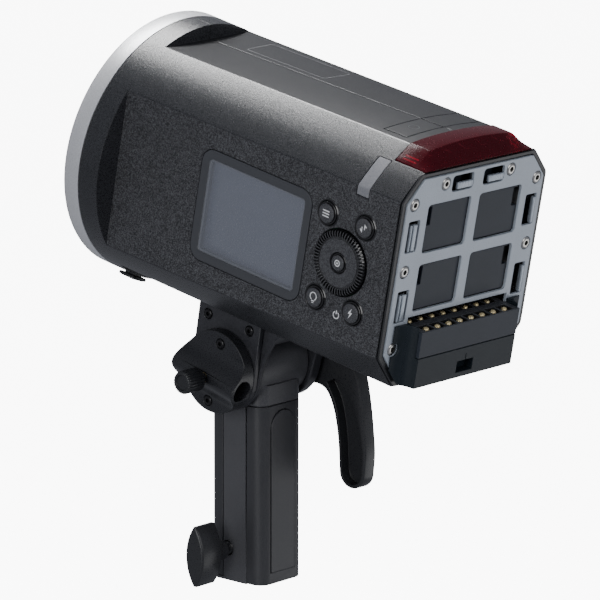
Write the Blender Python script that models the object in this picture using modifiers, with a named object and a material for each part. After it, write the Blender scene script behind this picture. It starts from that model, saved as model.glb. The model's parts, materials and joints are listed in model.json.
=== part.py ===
"""Monolight strobe on a tilting stand handle, without its battery.

World frame: metres, +Z up, origin on the spigot socket's axis at the handle's foot, light fires towards -Y.
Head frame: origin on the tilt axis, Y rearwards along the optical axis, Z up through the head, X to the display.
The head frame is the world frame moved to the tilt axis and turned nose up by REST_TILT.
"""

import math

import bmesh
import bpy
from mathutils import Matrix, Vector

# Driving dimensions, in metres and degrees.
GAP = 0.0003
REST_TILT = math.radians(10.9)
PIVOT_Y = 0.005
PIVOT_Z = 0.1055

AXIS_Z = 0.0857  # optical axis above the tilt axis
RING_R = 0.064
RING_FRONT = -0.0812
RING_DEPTH = 0.0098
WALL_Y = -0.059  # the step where the round flange gives way to the flat sides
BODY_END = 0.1115
REAR_Y = 0.1128
SIDE_X = 0.0511
TOP_Z = 0.1427  # the top's height at the flange
TOP_Z_REAR = 0.1460  # at the rear, where the shoulders begin
CROWN = 0.0019  # how far the middle of the top stands above its edges at the rear
FLOOR_Z = 0.0347
WALL = 0.0025
BORE_R = 0.0475
SEAM_X = -0.001

COLUMN_X = 0.0150  # half width of the handle
COLUMN_Y = 0.0170  # half depth of the handle
COLUMN_R = 0.006
KNUCKLE_R = 0.018
KNUCKLE_X = 0.0170
SPIGOT_R = 0.00805
SPIGOT_DEPTH = 0.045
CLAMP_Z = 0.016
AXLE_R = 0.005

DIAL_Y = 0.0826
DIAL_Z = 0.0878
DIAL_R = 0.0154
BUTTON_R = 0.0054
BUTTONS = {
    "menu_button": (0.0711, 0.1079),
    "mode_button": (0.0939, 0.1085),
    "lamp_button": (0.0712, 0.0670),
    "flash_button": (0.0939, 0.0672),
}

WINDOW_Y = (-0.0076, 0.0612)
WINDOW_Z = (0.0598, 0.1140)
WINDOW_R = 0.007

PLATE_Y = 0.1136
LEDGE_X = 0.0346
LEDGE_Y = (0.1049, 0.1228)
LEDGE_Z = (0.0521, 0.0648)
CONTACT_ROWS = (0.1085, 0.1190)
CONTACT_PITCH = 0.0079
CONTACTS = 8

UMBRELLA_X = 0.0305
UMBRELLA_Z = -0.0015
UMBRELLA_R = 0.0053
UMBRELLA_TILT = math.radians(4.8)
CHEEK_R = 0.020

LENS_X = 0.0378
LENS_Y = (0.0943, 0.1062, 0.1125)  # front edge, ridge, rear edge
LENS_Z = 0.1390  # underside

LID_OPENING = ((-0.0268, 0.0742), (0.0249, 0.0883))
LIDS = {
    "sync_cover": ((-0.0007, 0.0745), (0.0243, 0.0880)),
    "port_cover": ((-0.0265, 0.0745), (-0.0013, 0.0880)),
}
LID_Z = 0.1440  # the lids' underside

RELEASE_ANGLE = math.radians(70)  # the release sits round the flange from the display side to the bottom

LEVER_X = (-0.0340, -0.0262)

# The turn that takes an object's own Z axis to the named axis.
TO_X = Matrix.Rotation(math.radians(90), 4, "Y")
TO_Y = Matrix.Rotation(math.radians(-90), 4, "X")
TO_Z = Matrix.Identity(4)


def clear_scene():
    for obj in list(bpy.data.objects):
        bpy.data.objects.remove(obj)


def new_collection(name):
    made = bpy.data.collections.new(name)
    bpy.context.scene.collection.children.link(made)
    return made


def new_material(name, colour, roughness, metallic=0.0, alpha=1.0):
    made = bpy.data.materials.new(name)
    made.use_nodes = True
    shader = made.node_tree.nodes["Principled BSDF"]
    shader.inputs["Base Color"].default_value = (*colour, 1.0)
    shader.inputs["Roughness"].default_value = roughness
    shader.inputs["Metallic"].default_value = metallic
    shader.inputs["Alpha"].default_value = alpha
    made.diffuse_color = (*colour, alpha)
    return made


clear_scene()
PARTS = new_collection("monolight_strobe")
CUTTERS = new_collection("cutters")

# Finishes: colour, roughness, metallic, alpha.
SHELL = ((0.030, 0.031, 0.034), 0.55)
SATIN = ((0.016, 0.017, 0.019), 0.40)
CAST = ((0.022, 0.023, 0.026), 0.45)
RUBBER = ((0.028, 0.029, 0.032), 0.75)
SILVER = ((0.62, 0.64, 0.67), 0.30, 1.0)
PLATE = ((0.42, 0.47, 0.54), 0.38, 0.6)
PANEL = ((0.050, 0.057, 0.068), 0.55)
RED = ((0.16, 0.004, 0.010), 0.12)
GLASS = ((0.85, 0.88, 0.90), 0.08, 0.0, 0.4)
SCREEN = ((0.13, 0.15, 0.19), 0.15)
LIGHT_GREY = ((0.40, 0.41, 0.43), 0.45)
STEEL = ((0.62, 0.60, 0.57), 0.30, 1.0)
BRASS = ((0.72, 0.56, 0.30), 0.28, 1.0)
BOARD = ((0.02, 0.12, 0.06), 0.50)
FOIL = ((0.02, 0.05, 0.16), 0.35)


def new_frame(name, location, turn):
    frame = bpy.data.objects.new(name, None)
    frame.matrix_world = Matrix.Translation(location) @ Matrix.Rotation(turn, 4, "X")
    PARTS.objects.link(frame)
    return frame


PIVOT = (0.0, PIVOT_Y, PIVOT_Z)
HEAD = new_frame("head_frame", PIVOT, -REST_TILT)
LEVER = new_frame("lever_frame", PIVOT, 0.0)
UMBRELLA = new_frame("umbrella_frame", PIVOT, -REST_TILT - UMBRELLA_TILT)
STAND = new_frame("stand_frame", (0.0, 0.0, 0.0), 0.0)


def place(obj, frame, matrix=TO_Z):
    obj.parent = frame
    obj.matrix_local = matrix
    return obj


def add_solid(name, mesh, finish, frame, matrix=TO_Z, smooth=30):
    """A named sub-part from a mesh, in a frame, with its round faces shaded smooth."""
    obj = bpy.data.objects.new(name, mesh)
    mesh.materials.append(new_material(name, *finish))
    mesh.shade_smooth()
    mesh.set_sharp_from_angle(angle=math.radians(smooth))
    PARTS.objects.link(obj)
    return place(obj, frame, matrix)


def add_cutter(mesh, frame, matrix=TO_Z):
    obj = bpy.data.objects.new("cutter", mesh)
    obj.hide_render = True
    obj.display_type = "WIRE"
    CUTTERS.objects.link(obj)
    return place(obj, frame, matrix)


def boolean(obj, other, operation="DIFFERENCE"):
    modifier = obj.modifiers.new(operation.lower(), "BOOLEAN")
    modifier.operation = operation
    modifier.solver = "EXACT"
    modifier.object = other
    return obj


def round_edges(obj, width, segments=2, angle=40):
    modifier = obj.modifiers.new("round_edges", "BEVEL")
    modifier.width = width
    modifier.segments = segments
    modifier.limit_method = "ANGLE"
    modifier.angle_limit = math.radians(angle)
    modifier.harden_normals = False
    return obj


def box_mesh(low, high):
    """A box between two corners, from the cube primitive."""
    low = Vector(low)
    high = Vector(high)
    size = high - low
    mesh = bpy.data.meshes.new("box")
    work = bmesh.new()
    bmesh.ops.create_cube(work, size=1.0)
    bmesh.ops.scale(work, vec=size, verts=work.verts)
    bmesh.ops.translate(work, vec=(low + high) / 2, verts=work.verts)
    work.to_mesh(mesh)
    work.free()
    return mesh


def rod_mesh(radius, start, end, steps=24, end_radius=None):
    """A cylinder or cone along its own Z from start to end."""
    mesh = bpy.data.meshes.new("rod")
    work = bmesh.new()
    bmesh.ops.create_cone(
        work,
        cap_ends=True,
        segments=steps,
        radius1=radius,
        radius2=radius if end_radius is None else end_radius,
        depth=end - start,
    )
    bmesh.ops.translate(work, vec=(0.0, 0.0, (start + end) / 2), verts=work.verts)
    work.to_mesh(mesh)
    work.free()
    return mesh


def joined(*meshes):
    """One mesh that holds several, for a cutter with many bodies."""
    work = bmesh.new()
    for mesh in meshes:
        work.from_mesh(mesh)
    made = bpy.data.meshes.new("joined")
    work.to_mesh(made)
    work.free()
    return made


def moved(mesh, matrix):
    mesh.transform(matrix)
    return mesh


def prism_mesh(outline, start, end):
    """A flat outline in its own XY, filled and extruded along Z from start to end."""
    curve = bpy.data.curves.new("outline", "CURVE")
    curve.dimensions = "2D"
    curve.fill_mode = "BOTH"
    curve.extrude = (end - start) / 2
    spline = curve.splines.new("POLY")
    spline.points.add(len(outline) - 1)
    for point, (x, y) in zip(spline.points, outline):
        point.co = (x, y, 0.0, 1.0)
    spline.use_cyclic_u = True
    guide = bpy.data.objects.new("outline", curve)
    CUTTERS.objects.link(guide)
    bpy.context.view_layer.update()
    graph = bpy.context.evaluated_depsgraph_get()
    mesh = bpy.data.meshes.new_from_object(guide.evaluated_get(graph))
    bpy.data.objects.remove(guide)
    work = bmesh.new()
    work.from_mesh(mesh)
    bmesh.ops.remove_doubles(work, verts=work.verts, dist=1e-6)
    bmesh.ops.translate(work, vec=(0.0, 0.0, (start + end) / 2), verts=work.verts)
    bmesh.ops.recalc_face_normals(work, faces=work.faces)
    work.to_mesh(mesh)
    work.free()
    return mesh


def side_prism(outline, start, end):
    """A prism whose outline is given as (y, z) and which runs along X."""
    turn = Matrix(((0, 0, 1, 0), (1, 0, 0, 0), (0, 1, 0, 0), (0, 0, 0, 1)))
    return moved(prism_mesh(outline, start, end), turn)


def back_prism(outline, start, end):
    """A prism whose outline is given as (x, z) and which runs along Y."""
    flipped = [(x, -z) for x, z in outline]
    return moved(prism_mesh(flipped, start, end), TO_Y)


def turned(name, profile, finish, frame, matrix=TO_Y, steps=32):
    """A turned part: (radius, height) points, outer side first from top to bottom, swept by a Screw modifier."""
    mesh = bpy.data.meshes.new(name)
    points = [(radius, 0.0, height) for radius, height in profile]
    count = len(points)
    edges = [(i, (i + 1) % count) for i in range(count)]
    mesh.from_pydata(points, edges, [])
    obj = bpy.data.objects.new(name, mesh)
    mesh.materials.append(new_material(name, *finish))
    PARTS.objects.link(obj)
    screw = obj.modifiers.new("turn", "SCREW")
    screw.steps = steps
    screw.render_steps = steps
    screw.use_smooth_shade = True
    screw.use_merge_vertices = True
    screw.merge_threshold = 0.00001
    return place(obj, frame, matrix)


def ring_profile(outer, inner, start, end):
    """The closed profile of a plain ring, ready for turned()."""
    return [(outer, end), (outer, start), (inner, start), (inner, end)]


def arc(centre, radius, first, last, steps):
    """Points of an arc, with its angles in degrees."""
    made = []
    for i in range(steps + 1):
        angle = math.radians(first + (last - first) * i / steps)
        made.append((centre[0] + radius * math.cos(angle), centre[1] + radius * math.sin(angle)))
    return made


def rounded_box(low, high, radius, steps=4):
    """A rectangle with round corners, counter-clockwise."""
    x0, y0 = low
    x1, y1 = high
    corners = ((x1, y1, 0), (x0, y1, 90), (x0, y0, 180), (x1, y0, 270))
    outline = []
    for x, y, start in corners:
        centre = (x - math.copysign(radius, x - (x0 + x1) / 2), y - math.copysign(radius, y - (y0 + y1) / 2))
        outline += arc(centre, radius, start, start + 90, steps)
    return outline


def mirrored(half):
    """The whole outline of a symmetric shape from its +X half, which runs counter-clockwise."""
    return half + [(-x, z) for x, z in reversed(half)]


def loft_mesh(rings):
    """A closed skin over rings of equally many points, each ring given as (x, y, z) points."""
    work = bmesh.new()
    rows = [[work.verts.new(point) for point in ring] for ring in rings]
    count = len(rows[0])
    for near, far in zip(rows, rows[1:]):
        for i in range(count):
            j = (i + 1) % count
            work.faces.new((near[i], near[j], far[j], far[i]))
    work.faces.new(rows[0])
    work.faces.new(rows[-1])
    bmesh.ops.recalc_face_normals(work, faces=work.faces)
    mesh = bpy.data.meshes.new("loft")
    work.to_mesh(mesh)
    work.free()
    return mesh


# The head's section, on its +X side: round at the flange, and chamfered at the rear.
SHOULDER_REAR = (
    (SIDE_X, 0.1267),
    (0.0469, 0.1312),
    (0.0426, 0.1354),
    (0.0383, 0.1390),
    (0.0336, 0.1426),
    (0.0289, TOP_Z_REAR),
)
HIP_REAR = ((0.0370, FLOOR_Z), (0.0417, 0.0401), (0.0464, 0.0456), (SIDE_X, 0.0510))


def flange_arc(first, last, steps):
    """Points on the flange's circle between two heights and sides, as the front end of a shoulder."""
    start = math.degrees(math.atan2(first[1] - AXIS_Z, first[0]))
    stop = math.degrees(math.atan2(last[1] - AXIS_Z, last[0]))
    return arc((0.0, AXIS_Z), RING_R, start, stop, steps)


def half_section(share):
    """The head's outline on its +X side at a share of the way from the flange to the rear."""
    rise = math.sqrt(RING_R**2 - SIDE_X**2)
    top = TOP_Z - AXIS_Z
    floor = FLOOR_Z - AXIS_Z
    shoulder_front = flange_arc((SIDE_X, AXIS_Z + rise), (math.sqrt(RING_R**2 - top**2), TOP_Z), 5)
    hip_front = flange_arc((math.sqrt(RING_R**2 - floor**2), FLOOR_Z), (SIDE_X, AXIS_Z - rise), 3)
    outline = []
    for front, rear in ((hip_front, HIP_REAR), (shoulder_front, SHOULDER_REAR)):
        for (x0, z0), (x1, z1) in zip(front, rear):
            outline.append((x0 + (x1 - x0) * share, z0 + (z1 - z0) * share))
    edge_x, edge_z = outline[-1]
    for part in (0.75, 0.45, 0.15):
        outline.append((edge_x * part, edge_z + CROWN * share * (1 - part**2)))
    return outline


def body_loft(start, end, inset=0.0, stations=4):
    """The head's outer body between two stations, or its hollow when it is inset."""
    centre = (TOP_Z + FLOOR_Z) / 2
    rings = []
    for i in range(stations + 1):
        y = start + (end - start) * i / stations
        share = min(1.0, max(0.0, (y - WALL_Y) / (BODY_END - WALL_Y)))
        outline = mirrored(half_section(share))
        scale_x = (SIDE_X - inset) / SIDE_X
        half_height = (TOP_Z - FLOOR_Z) / 2
        scale_z = (half_height - inset) / half_height
        rings.append([(x * scale_x, y, centre + (z - centre) * scale_z) for x, z in outline])
    return loft_mesh(rings)


def octagon(inset):
    """The rear frame's outline, drawn in by an inset."""
    lean = inset * 0.42
    half = [
        (0.0370 - lean, FLOOR_Z + inset),
        (SIDE_X - inset, 0.0510 + lean),
        (SIDE_X - inset, 0.1267 - lean),
        (0.0395 - lean, 0.1396 - inset),
    ]
    return mirrored(half)


def lens_ring(y, heights):
    """One section of the signal lens, from its side edge to near its middle."""
    half = [(LENS_X, LENS_Z)]
    half += list(zip((LENS_X, 0.0336, 0.0289, 0.0217, 0.0145, 0.0072), heights))
    return [(x, y, z) for x, z in mirrored(half)]


def lens_room():
    """What the housing and the rear frame leave free for the signal lens."""
    side = LENS_X + GAP
    return box_mesh((-side, LENS_Y[0] - GAP, LENS_Z - GAP), (side, 0.1300, 0.1600))


def status_zone(grow=0.0):
    """The stretch of the shoulder that the status light fills."""
    return box_mesh((0.0388 - grow, 0.0858 - grow, 0.1222 - grow), (0.0600, 0.0928 + grow, 0.1500))


def make_housing():
    """The head's two shells, split along the top seam."""
    side_holes = [rod_mesh(DIAL_R + 0.0005, 0.045, 0.055, 32)]
    side_holes[0].transform(Matrix.Translation((0.0, DIAL_Y, DIAL_Z)) @ TO_X)
    for y, z in BUTTONS.values():
        hole = rod_mesh(BUTTON_R + 0.0004, 0.045, 0.055, 20)
        side_holes.append(moved(hole, Matrix.Translation((0.0, y, z)) @ TO_X))
    window = rounded_box((WINDOW_Y[0] - GAP, WINDOW_Z[0] - GAP), (WINDOW_Y[1] + GAP, WINDOW_Z[1] + GAP), WINDOW_R)
    side_holes.append(side_prism(window, 0.045, 0.055))
    low, high = LID_OPENING
    lid_hole = box_mesh((*low, 0.135), (*high, 0.155))
    slot = moved(box_mesh((0.0530, -0.0686, -0.0036), (0.0660, -0.0604, 0.0036)), release_place())
    vents = [
        box_mesh((-0.055, 0.010 + 0.0075 * i, 0.062), (-0.045, 0.0135 + 0.0075 * i, 0.110)) for i in range(9)
    ]
    cutters = [
        body_loft(-0.0560, 0.112, WALL, 5),
        moved(rod_mesh(BORE_R, -0.075, -0.050, 48), Matrix.Translation((0.0, 0.0, AXIS_Z)) @ TO_Y),
        joined(*side_holes),
        lid_hole,
        slot,
        joined(*vents),
        status_zone(GAP),
        lens_room(),
    ]
    flange = moved(
        rod_mesh(RING_R, RING_FRONT + RING_DEPTH + GAP, WALL_Y, 64), Matrix.Translation((0.0, 0.0, AXIS_Z)) @ TO_Y
    )
    sides = {"housing_display_side": (SEAM_X + GAP / 2, 0.1), "housing_far_side": (-0.1, SEAM_X - GAP / 2)}
    for name, (low, high) in sides.items():
        shell = add_solid(name, body_loft(WALL_Y - 0.002, BODY_END), SHELL, HEAD)
        boolean(shell, add_cutter(flange, HEAD), "UNION")
        for cutter in cutters:
            boolean(shell, add_cutter(cutter, HEAD))
        boolean(shell, add_cutter(box_mesh((low, -0.1, 0.0), (high, 0.2, 0.2)), HEAD), "INTERSECT")


def make_front():
    """The accessory mount, and the flash tube and modelling lamp inside it."""
    axis = Matrix.Translation((0.0, 0.0, AXIS_Z)) @ TO_Y
    rear = RING_FRONT + RING_DEPTH
    turned(
        "mount_ring",
        [
            (RING_R, rear),
            (RING_R, RING_FRONT + 0.001),
            (RING_R - 0.001, RING_FRONT),
            (0.0515, RING_FRONT),
            (0.0500, RING_FRONT + 0.0015),
            (0.0500, -0.0745),
            (0.0478, -0.0745),
            (0.0478, rear),
        ],
        SILVER,
        HEAD,
        axis,
        64,
    )
    bayonet = add_solid("bayonet_ring", rod_mesh(0.0496, -0.0786, -0.0748, 48), SATIN, HEAD, axis)
    boolean(bayonet, add_cutter(rod_mesh(0.0452, -0.080, -0.074, 48), HEAD, axis))
    for i in range(3):
        notch = box_mesh((0.0440, -0.0090, -0.0810), (0.0475, 0.0090, -0.0740))
        turn = axis @ Matrix.Rotation(math.radians(90 + 120 * i), 4, "Z")
        boolean(bayonet, add_cutter(notch, HEAD, turn))
    turned(
        "reflector_bowl",
        [
            (0.0448, -0.0745),
            (0.0448, -0.0760),
            (0.0436, -0.0760),
            (0.0300, -0.0560),
            (0.0060, -0.0545),
            (0.0060, -0.0530),
            (0.0310, -0.0545),
        ],
        SILVER,
        HEAD,
        axis,
        40,
    )
    turned(
        "modelling_lamp",
        [(0.0055, -0.0460), (0.0055, -0.0550), (0.0120, -0.0552), (0.0120, -0.0580), (0.0001, -0.0580), (0.0001, -0.0460)],
        LIGHT_GREY,
        HEAD,
        axis,
        24,
    )
    tube = bpy.data.meshes.new("flash_tube")
    work = bmesh.new()
    circle = bmesh.ops.create_circle(work, cap_ends=True, segments=10, radius=0.0032)
    bmesh.ops.rotate(work, matrix=Matrix.Rotation(math.radians(90), 3, "X"), verts=circle["verts"])
    bmesh.ops.translate(work, vec=(0.0205, 0.0, -0.0620), verts=circle["verts"])
    bmesh.ops.spin(work, geom=work.faces[:], axis=(0.0, 0.0, 1.0), cent=(0.0, 0.0, 0.0), angle=math.radians(338), steps=28)
    bmesh.ops.recalc_face_normals(work, faces=work.faces)
    work.to_mesh(tube)
    work.free()
    add_solid("flash_tube", tube, GLASS, HEAD, axis)
    turned(
        "glass_dome",
        [
            (0.0275, -0.0566),
            (0.0275, -0.0720),
            (0.0240, -0.0770),
            (0.0150, -0.0794),
            (0.0001, -0.0800),
            (0.0001, -0.0780),
            (0.0142, -0.0775),
            (0.0225, -0.0754),
            (0.0257, -0.0712),
            (0.0257, -0.0566),
        ],
        GLASS,
        HEAD,
        axis,
        36,
    )


def release_place():
    """Where the mount release sits, with its own X pointing out of the flange."""
    return Matrix.Translation((0.0, 0.0, AXIS_Z)) @ Matrix.Rotation(RELEASE_ANGLE, 4, "Y")


def make_mount_release():
    """The slider under the flange that frees a modifier."""
    cap = box_mesh((0.0645, -0.0700, -0.0052), (0.0661, -0.0604, 0.0052))
    slider = add_solid("mount_release", cap, SATIN, HEAD, release_place())
    round_edges(slider, 0.0005)
    stem = box_mesh((0.0560, -0.0680, -0.0030), (0.0650, -0.0624, 0.0030))
    boolean(slider, add_cutter(stem, HEAD, release_place()), "UNION")


def make_rear():
    """The frame, plate and backing panel that the battery hooks on to."""
    bezel = add_solid("rear_bezel", back_prism(octagon(0.0004), BODY_END + GAP, REAR_Y), SATIN, HEAD)
    boolean(bezel, add_cutter(back_prism(octagon(0.0030), 0.100, 0.120), HEAD))
    boolean(bezel, add_cutter(lens_room(), HEAD))

    plate = add_solid("battery_plate", back_prism(octagon(0.0033), PLATE_Y - 0.0016, PLATE_Y), PLATE, HEAD)
    holes = []
    for side in (1, -1):
        for low, high in ((0.0714, 0.0941), (0.0997, 0.1229)):
            holes.append((side * 0.0030, low, side * 0.0328, high, 0.0015))
        for low, high in ((0.0677, 0.0830), (0.1017, 0.1168)):
            holes.append((side * 0.0374, low, side * 0.0450, high, 0.0005))
        holes.append((side * 0.0036, 0.1270, side * 0.0182, 0.1347, 0.0015))
    cutters = []
    for x0, z0, x1, z1, radius in holes:
        outline = rounded_box((min(x0, x1), z0), (max(x0, x1), z1), radius, 2)
        cutters.append(back_prism(outline, 0.105, 0.120))
    cutters.append(box_mesh((-LEDGE_X - GAP, 0.105, LEDGE_Z[0] - GAP), (LEDGE_X + GAP, 0.120, 0.0690)))
    for x, z in screw_places():
        cutters.append(moved(rod_mesh(0.0032, 0.105, 0.120, 16), Matrix.Translation((x, 0.0, z)) @ TO_Y))
    boolean(plate, add_cutter(joined(*cutters), HEAD))

    add_solid("battery_backing", box_mesh((-0.0362, 0.1065, 0.0696), (0.0362, 0.1101, 0.1256)), PANEL, HEAD)


def screw_places():
    """Where the battery plate is screwed down, as (x, z)."""
    half = ((0.0229, 0.1318), (0.0430, 0.1247), (0.0429, 0.0924), (0.0430, 0.0550))
    return [(side * x, z) for side in (1, -1) for x, z in half]


def add_screw(name, radius, height, matrix, frame, finish):
    """A screw head with its hexagonal driver socket, its face at the top of its own Z."""
    screw = add_solid(name, rod_mesh(radius, 0.0, height, 14), finish, frame, matrix)
    socket = rod_mesh(radius * 0.45, height - 0.0010, height + 0.001, 6)
    return boolean(screw, add_cutter(socket, frame, matrix))


def make_fasteners():
    for i, (x, z) in enumerate(screw_places(), 1):
        matrix = Matrix.Translation((x, PLATE_Y - 0.0020, z)) @ TO_Y
        add_screw(f"plate_screw_{i}", 0.0029, 0.0023, matrix, HEAD, STEEL)
    for i, (y, z) in enumerate(((-0.0141, 0.0234), (0.0124, 0.0240)), 1):
        matrix = Matrix.Translation((0.0221, y, z)) @ TO_X
        add_screw(f"yoke_screw_{i}", 0.0023, 0.0016, matrix, HEAD, SATIN)
    for i, z in enumerate((0.0146, -0.0150), 1):
        matrix = Matrix.Translation((0.0283, 0.0, z)) @ TO_X
        add_screw(f"umbrella_screw_{i}", 0.0023, 0.0016, matrix, UMBRELLA, SATIN)


def make_signal_lens():
    """The red lens across the top rear edge, crowned a little and sloping down to the rear frame."""
    front = lens_ring(LENS_Y[0], (0.1394, 0.1425, 0.1461, 0.1469, 0.1474, 0.1477))
    ridge = lens_ring(LENS_Y[1], (0.1394, 0.1427, 0.1461, 0.1471, 0.1477, 0.1481))
    rear = lens_ring(LENS_Y[2], (0.1393, 0.1395, 0.1396, 0.1397, 0.1397, 0.1397))
    add_solid("signal_lens", loft_mesh([front, ridge, rear]), RED, HEAD)


def make_display():
    """The display window, its panel and the boards behind it."""
    outline = rounded_box((WINDOW_Y[0], WINDOW_Z[0]), (WINDOW_Y[1], WINDOW_Z[1]), WINDOW_R)
    add_solid("display_window", side_prism(outline, 0.0489, 0.0513), SCREEN, HEAD)
    add_solid("display_panel", box_mesh((0.0463, -0.0045, 0.0630), (0.0486, 0.0585, 0.1110)), SCREEN, HEAD)
    add_solid("display_board", box_mesh((0.0434, -0.0080, 0.0580), (0.0450, 0.1000, 0.1160)), BOARD, HEAD)
    light = add_solid("status_light", body_loft(WALL_Y - 0.002, BODY_END), LIGHT_GREY, HEAD)
    boolean(light, add_cutter(status_zone(), HEAD), "INTERSECT")
    boolean(light, add_cutter(body_loft(-0.0560, 0.112, WALL, 5), HEAD))


def make_controls():
    """The dial, its set button and the buttons round it."""
    turned("control_dial", ring_profile(DIAL_R, 0.0050, 0.0489, 0.0535), SATIN, HEAD,
           Matrix.Translation((0.0, DIAL_Y, DIAL_Z)) @ TO_X, 32)
    places = {"set_button": (DIAL_Y, DIAL_Z, 0.0046, 0.0533)}
    for name, (y, z) in BUTTONS.items():
        places[name] = (y, z, BUTTON_R, 0.0523)
    for name, (y, z, radius, face) in places.items():
        matrix = Matrix.Translation((0.0, y, z)) @ TO_X
        button = add_solid(name, rod_mesh(radius, 0.0489, face, 20), SATIN, HEAD, matrix)
        round_edges(button, 0.0005, 1, 60)
    for name, (low, high) in LIDS.items():
        lid = add_solid(name, body_loft(WALL_Y - 0.002, BODY_END), RUBBER, HEAD)
        boolean(lid, add_cutter(box_mesh((*low, LID_Z), (*high, 0.155)), HEAD), "INTERSECT")
        round_edges(lid, 0.0003, 1)
    port = add_solid("port_block", box_mesh((-0.0250, 0.0760, 0.1320), (0.0220, 0.0865, 0.1432)), SATIN, HEAD)
    socket = moved(rod_mesh(0.0019, 0.1360, 0.1450, 16), Matrix.Translation((0.0125, 0.0812, 0.0)))
    boolean(port, add_cutter(joined(box_mesh((-0.0215, 0.0795, 0.1360), (-0.0125, 0.0829, 0.1450)), socket), HEAD))


def make_connector():
    """The ledge that carries the battery contacts, and the cover below it."""
    ledge = box_mesh((-LEDGE_X, LEDGE_Y[0], LEDGE_Z[0]), (LEDGE_X, LEDGE_Y[1], LEDGE_Z[1]))
    block = add_solid("connector_block", ledge, PANEL, HEAD)
    places = [(i - (CONTACTS - 1) / 2) * CONTACT_PITCH for i in range(CONTACTS)]
    for name, y in zip(("contacts_inner", "contacts_outer"), CONTACT_ROWS):
        wells = [box_mesh((x - 0.0031, y - 0.0028, 0.0600), (x + 0.0031, y + 0.0028, 0.0680)) for x in places]
        boolean(block, add_cutter(joined(*wells), HEAD))
        boolean(block, add_cutter(box_mesh((-0.0290, y - 0.0010, 0.0560), (0.0290, y + 0.0010, 0.0602)), HEAD))
        strip = box_mesh((-0.0286, y - 0.0007, 0.0563), (0.0286, y + 0.0007, 0.0576))
        row = add_solid(name, strip, BRASS, HEAD)
        pins = [box_mesh((x - 0.0011, y - 0.0007, 0.0570), (x + 0.0011, y + 0.0007, 0.0640)) for x in places]
        boolean(row, add_cutter(joined(*pins), HEAD), "UNION")

    front = PLATE_Y + GAP
    flare = [
        (0.0440, front),
        (0.0440, front + 0.0006),
        (0.0392, front + 0.0014),
        (0.0362, front + 0.0032),
        (0.0350, front + 0.0055),
        (LEDGE_X, LEDGE_Y[1]),
    ]
    cover = add_solid("connector_cover", prism_mesh(mirrored(flare), 0.0372, 0.0666), SATIN, HEAD)
    boolean(cover, add_cutter(back_prism(octagon(0.0016), 0.100, 0.130), HEAD), "INTERSECT")
    above = box_mesh((-LEDGE_X - GAP, 0.100, LEDGE_Z[0] - GAP), (LEDGE_X + GAP, 0.130, 0.080))
    boolean(cover, add_cutter(above, HEAD))
    for side in (1, -1):
        hole = moved(rod_mesh(0.0032, 0.105, 0.130, 16), Matrix.Translation((side * 0.0430, 0.0, 0.0550)) @ TO_Y)
        boolean(cover, add_cutter(hole, HEAD))
    boolean(cover, add_cutter(box_mesh((-0.0056, 0.1180, 0.0400), (0.0056, 0.1300, 0.0454)), HEAD))


def make_internals():
    """What the head holds inside: flash capacitors, the main board and the fan."""
    for name, x in (("flash_capacitor_1", 0.0195), ("flash_capacitor_2", -0.0215)):
        matrix = Matrix.Translation((x, 0.0, 0.0640)) @ TO_Y
        add_solid(name, rod_mesh(0.0195, -0.0350, 0.0600, 28), FOIL, HEAD, matrix)
    add_solid("main_board", box_mesh((-0.0400, -0.0400, 0.1180), (0.0400, 0.0650, 0.1196)), BOARD, HEAD)

    fan_z = 0.0860
    frame = add_solid("fan_frame", box_mesh((-0.0250, 0.0780, fan_z - 0.0250), (0.0250, 0.0930, fan_z + 0.0250)), SATIN, HEAD)
    axis = Matrix.Translation((0.0, 0.0, fan_z)) @ TO_Y
    boolean(frame, add_cutter(rod_mesh(0.0232, 0.0700, 0.0905, 32), HEAD, axis))
    vents = []
    for i in range(4):
        port = prism_mesh(arc((0, 0), 0.0225, 8 + 90 * i, 82 + 90 * i, 6) + arc((0, 0), 0.0095, 82 + 90 * i, 8 + 90 * i, 3),
                          0.088, 0.096)
        vents.append(port)
    boolean(frame, add_cutter(joined(*vents), HEAD, axis))

    rotor = add_solid("fan_rotor", rod_mesh(0.0090, 0.0790, 0.0898, 20), SATIN, HEAD, axis)
    for i in range(7):
        blade = box_mesh((0.0080, -0.0006, -0.0045), (0.0222, 0.0006, 0.0045))
        turn = Matrix.Rotation(math.radians(360 / 7 * i), 4, "Z") @ Matrix.Translation((0.0, 0.0, 0.0844))
        pitch = Matrix.Rotation(math.radians(38), 4, "X")
        boolean(rotor, add_cutter(blade, HEAD, axis @ turn @ pitch), "UNION")


def cheek_outline(flare):
    """A cheek of the yoke, as (y, z): a round lug below and a foot that flares rearwards above."""
    outline = arc((0.0, 0.0), CHEEK_R, 180, 350, 16)
    if flare:
        outline += [(0.0205, 0.0050), (0.0222, 0.0140), (0.0258, 0.0230), (0.0320, 0.0300)]
        outline += [(0.0330, FLOOR_Z - GAP), (-0.0215, FLOOR_Z - GAP)]
    else:
        outline += [(0.0190, 0.0335), (-0.0205, 0.0335)]
    return outline


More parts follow.
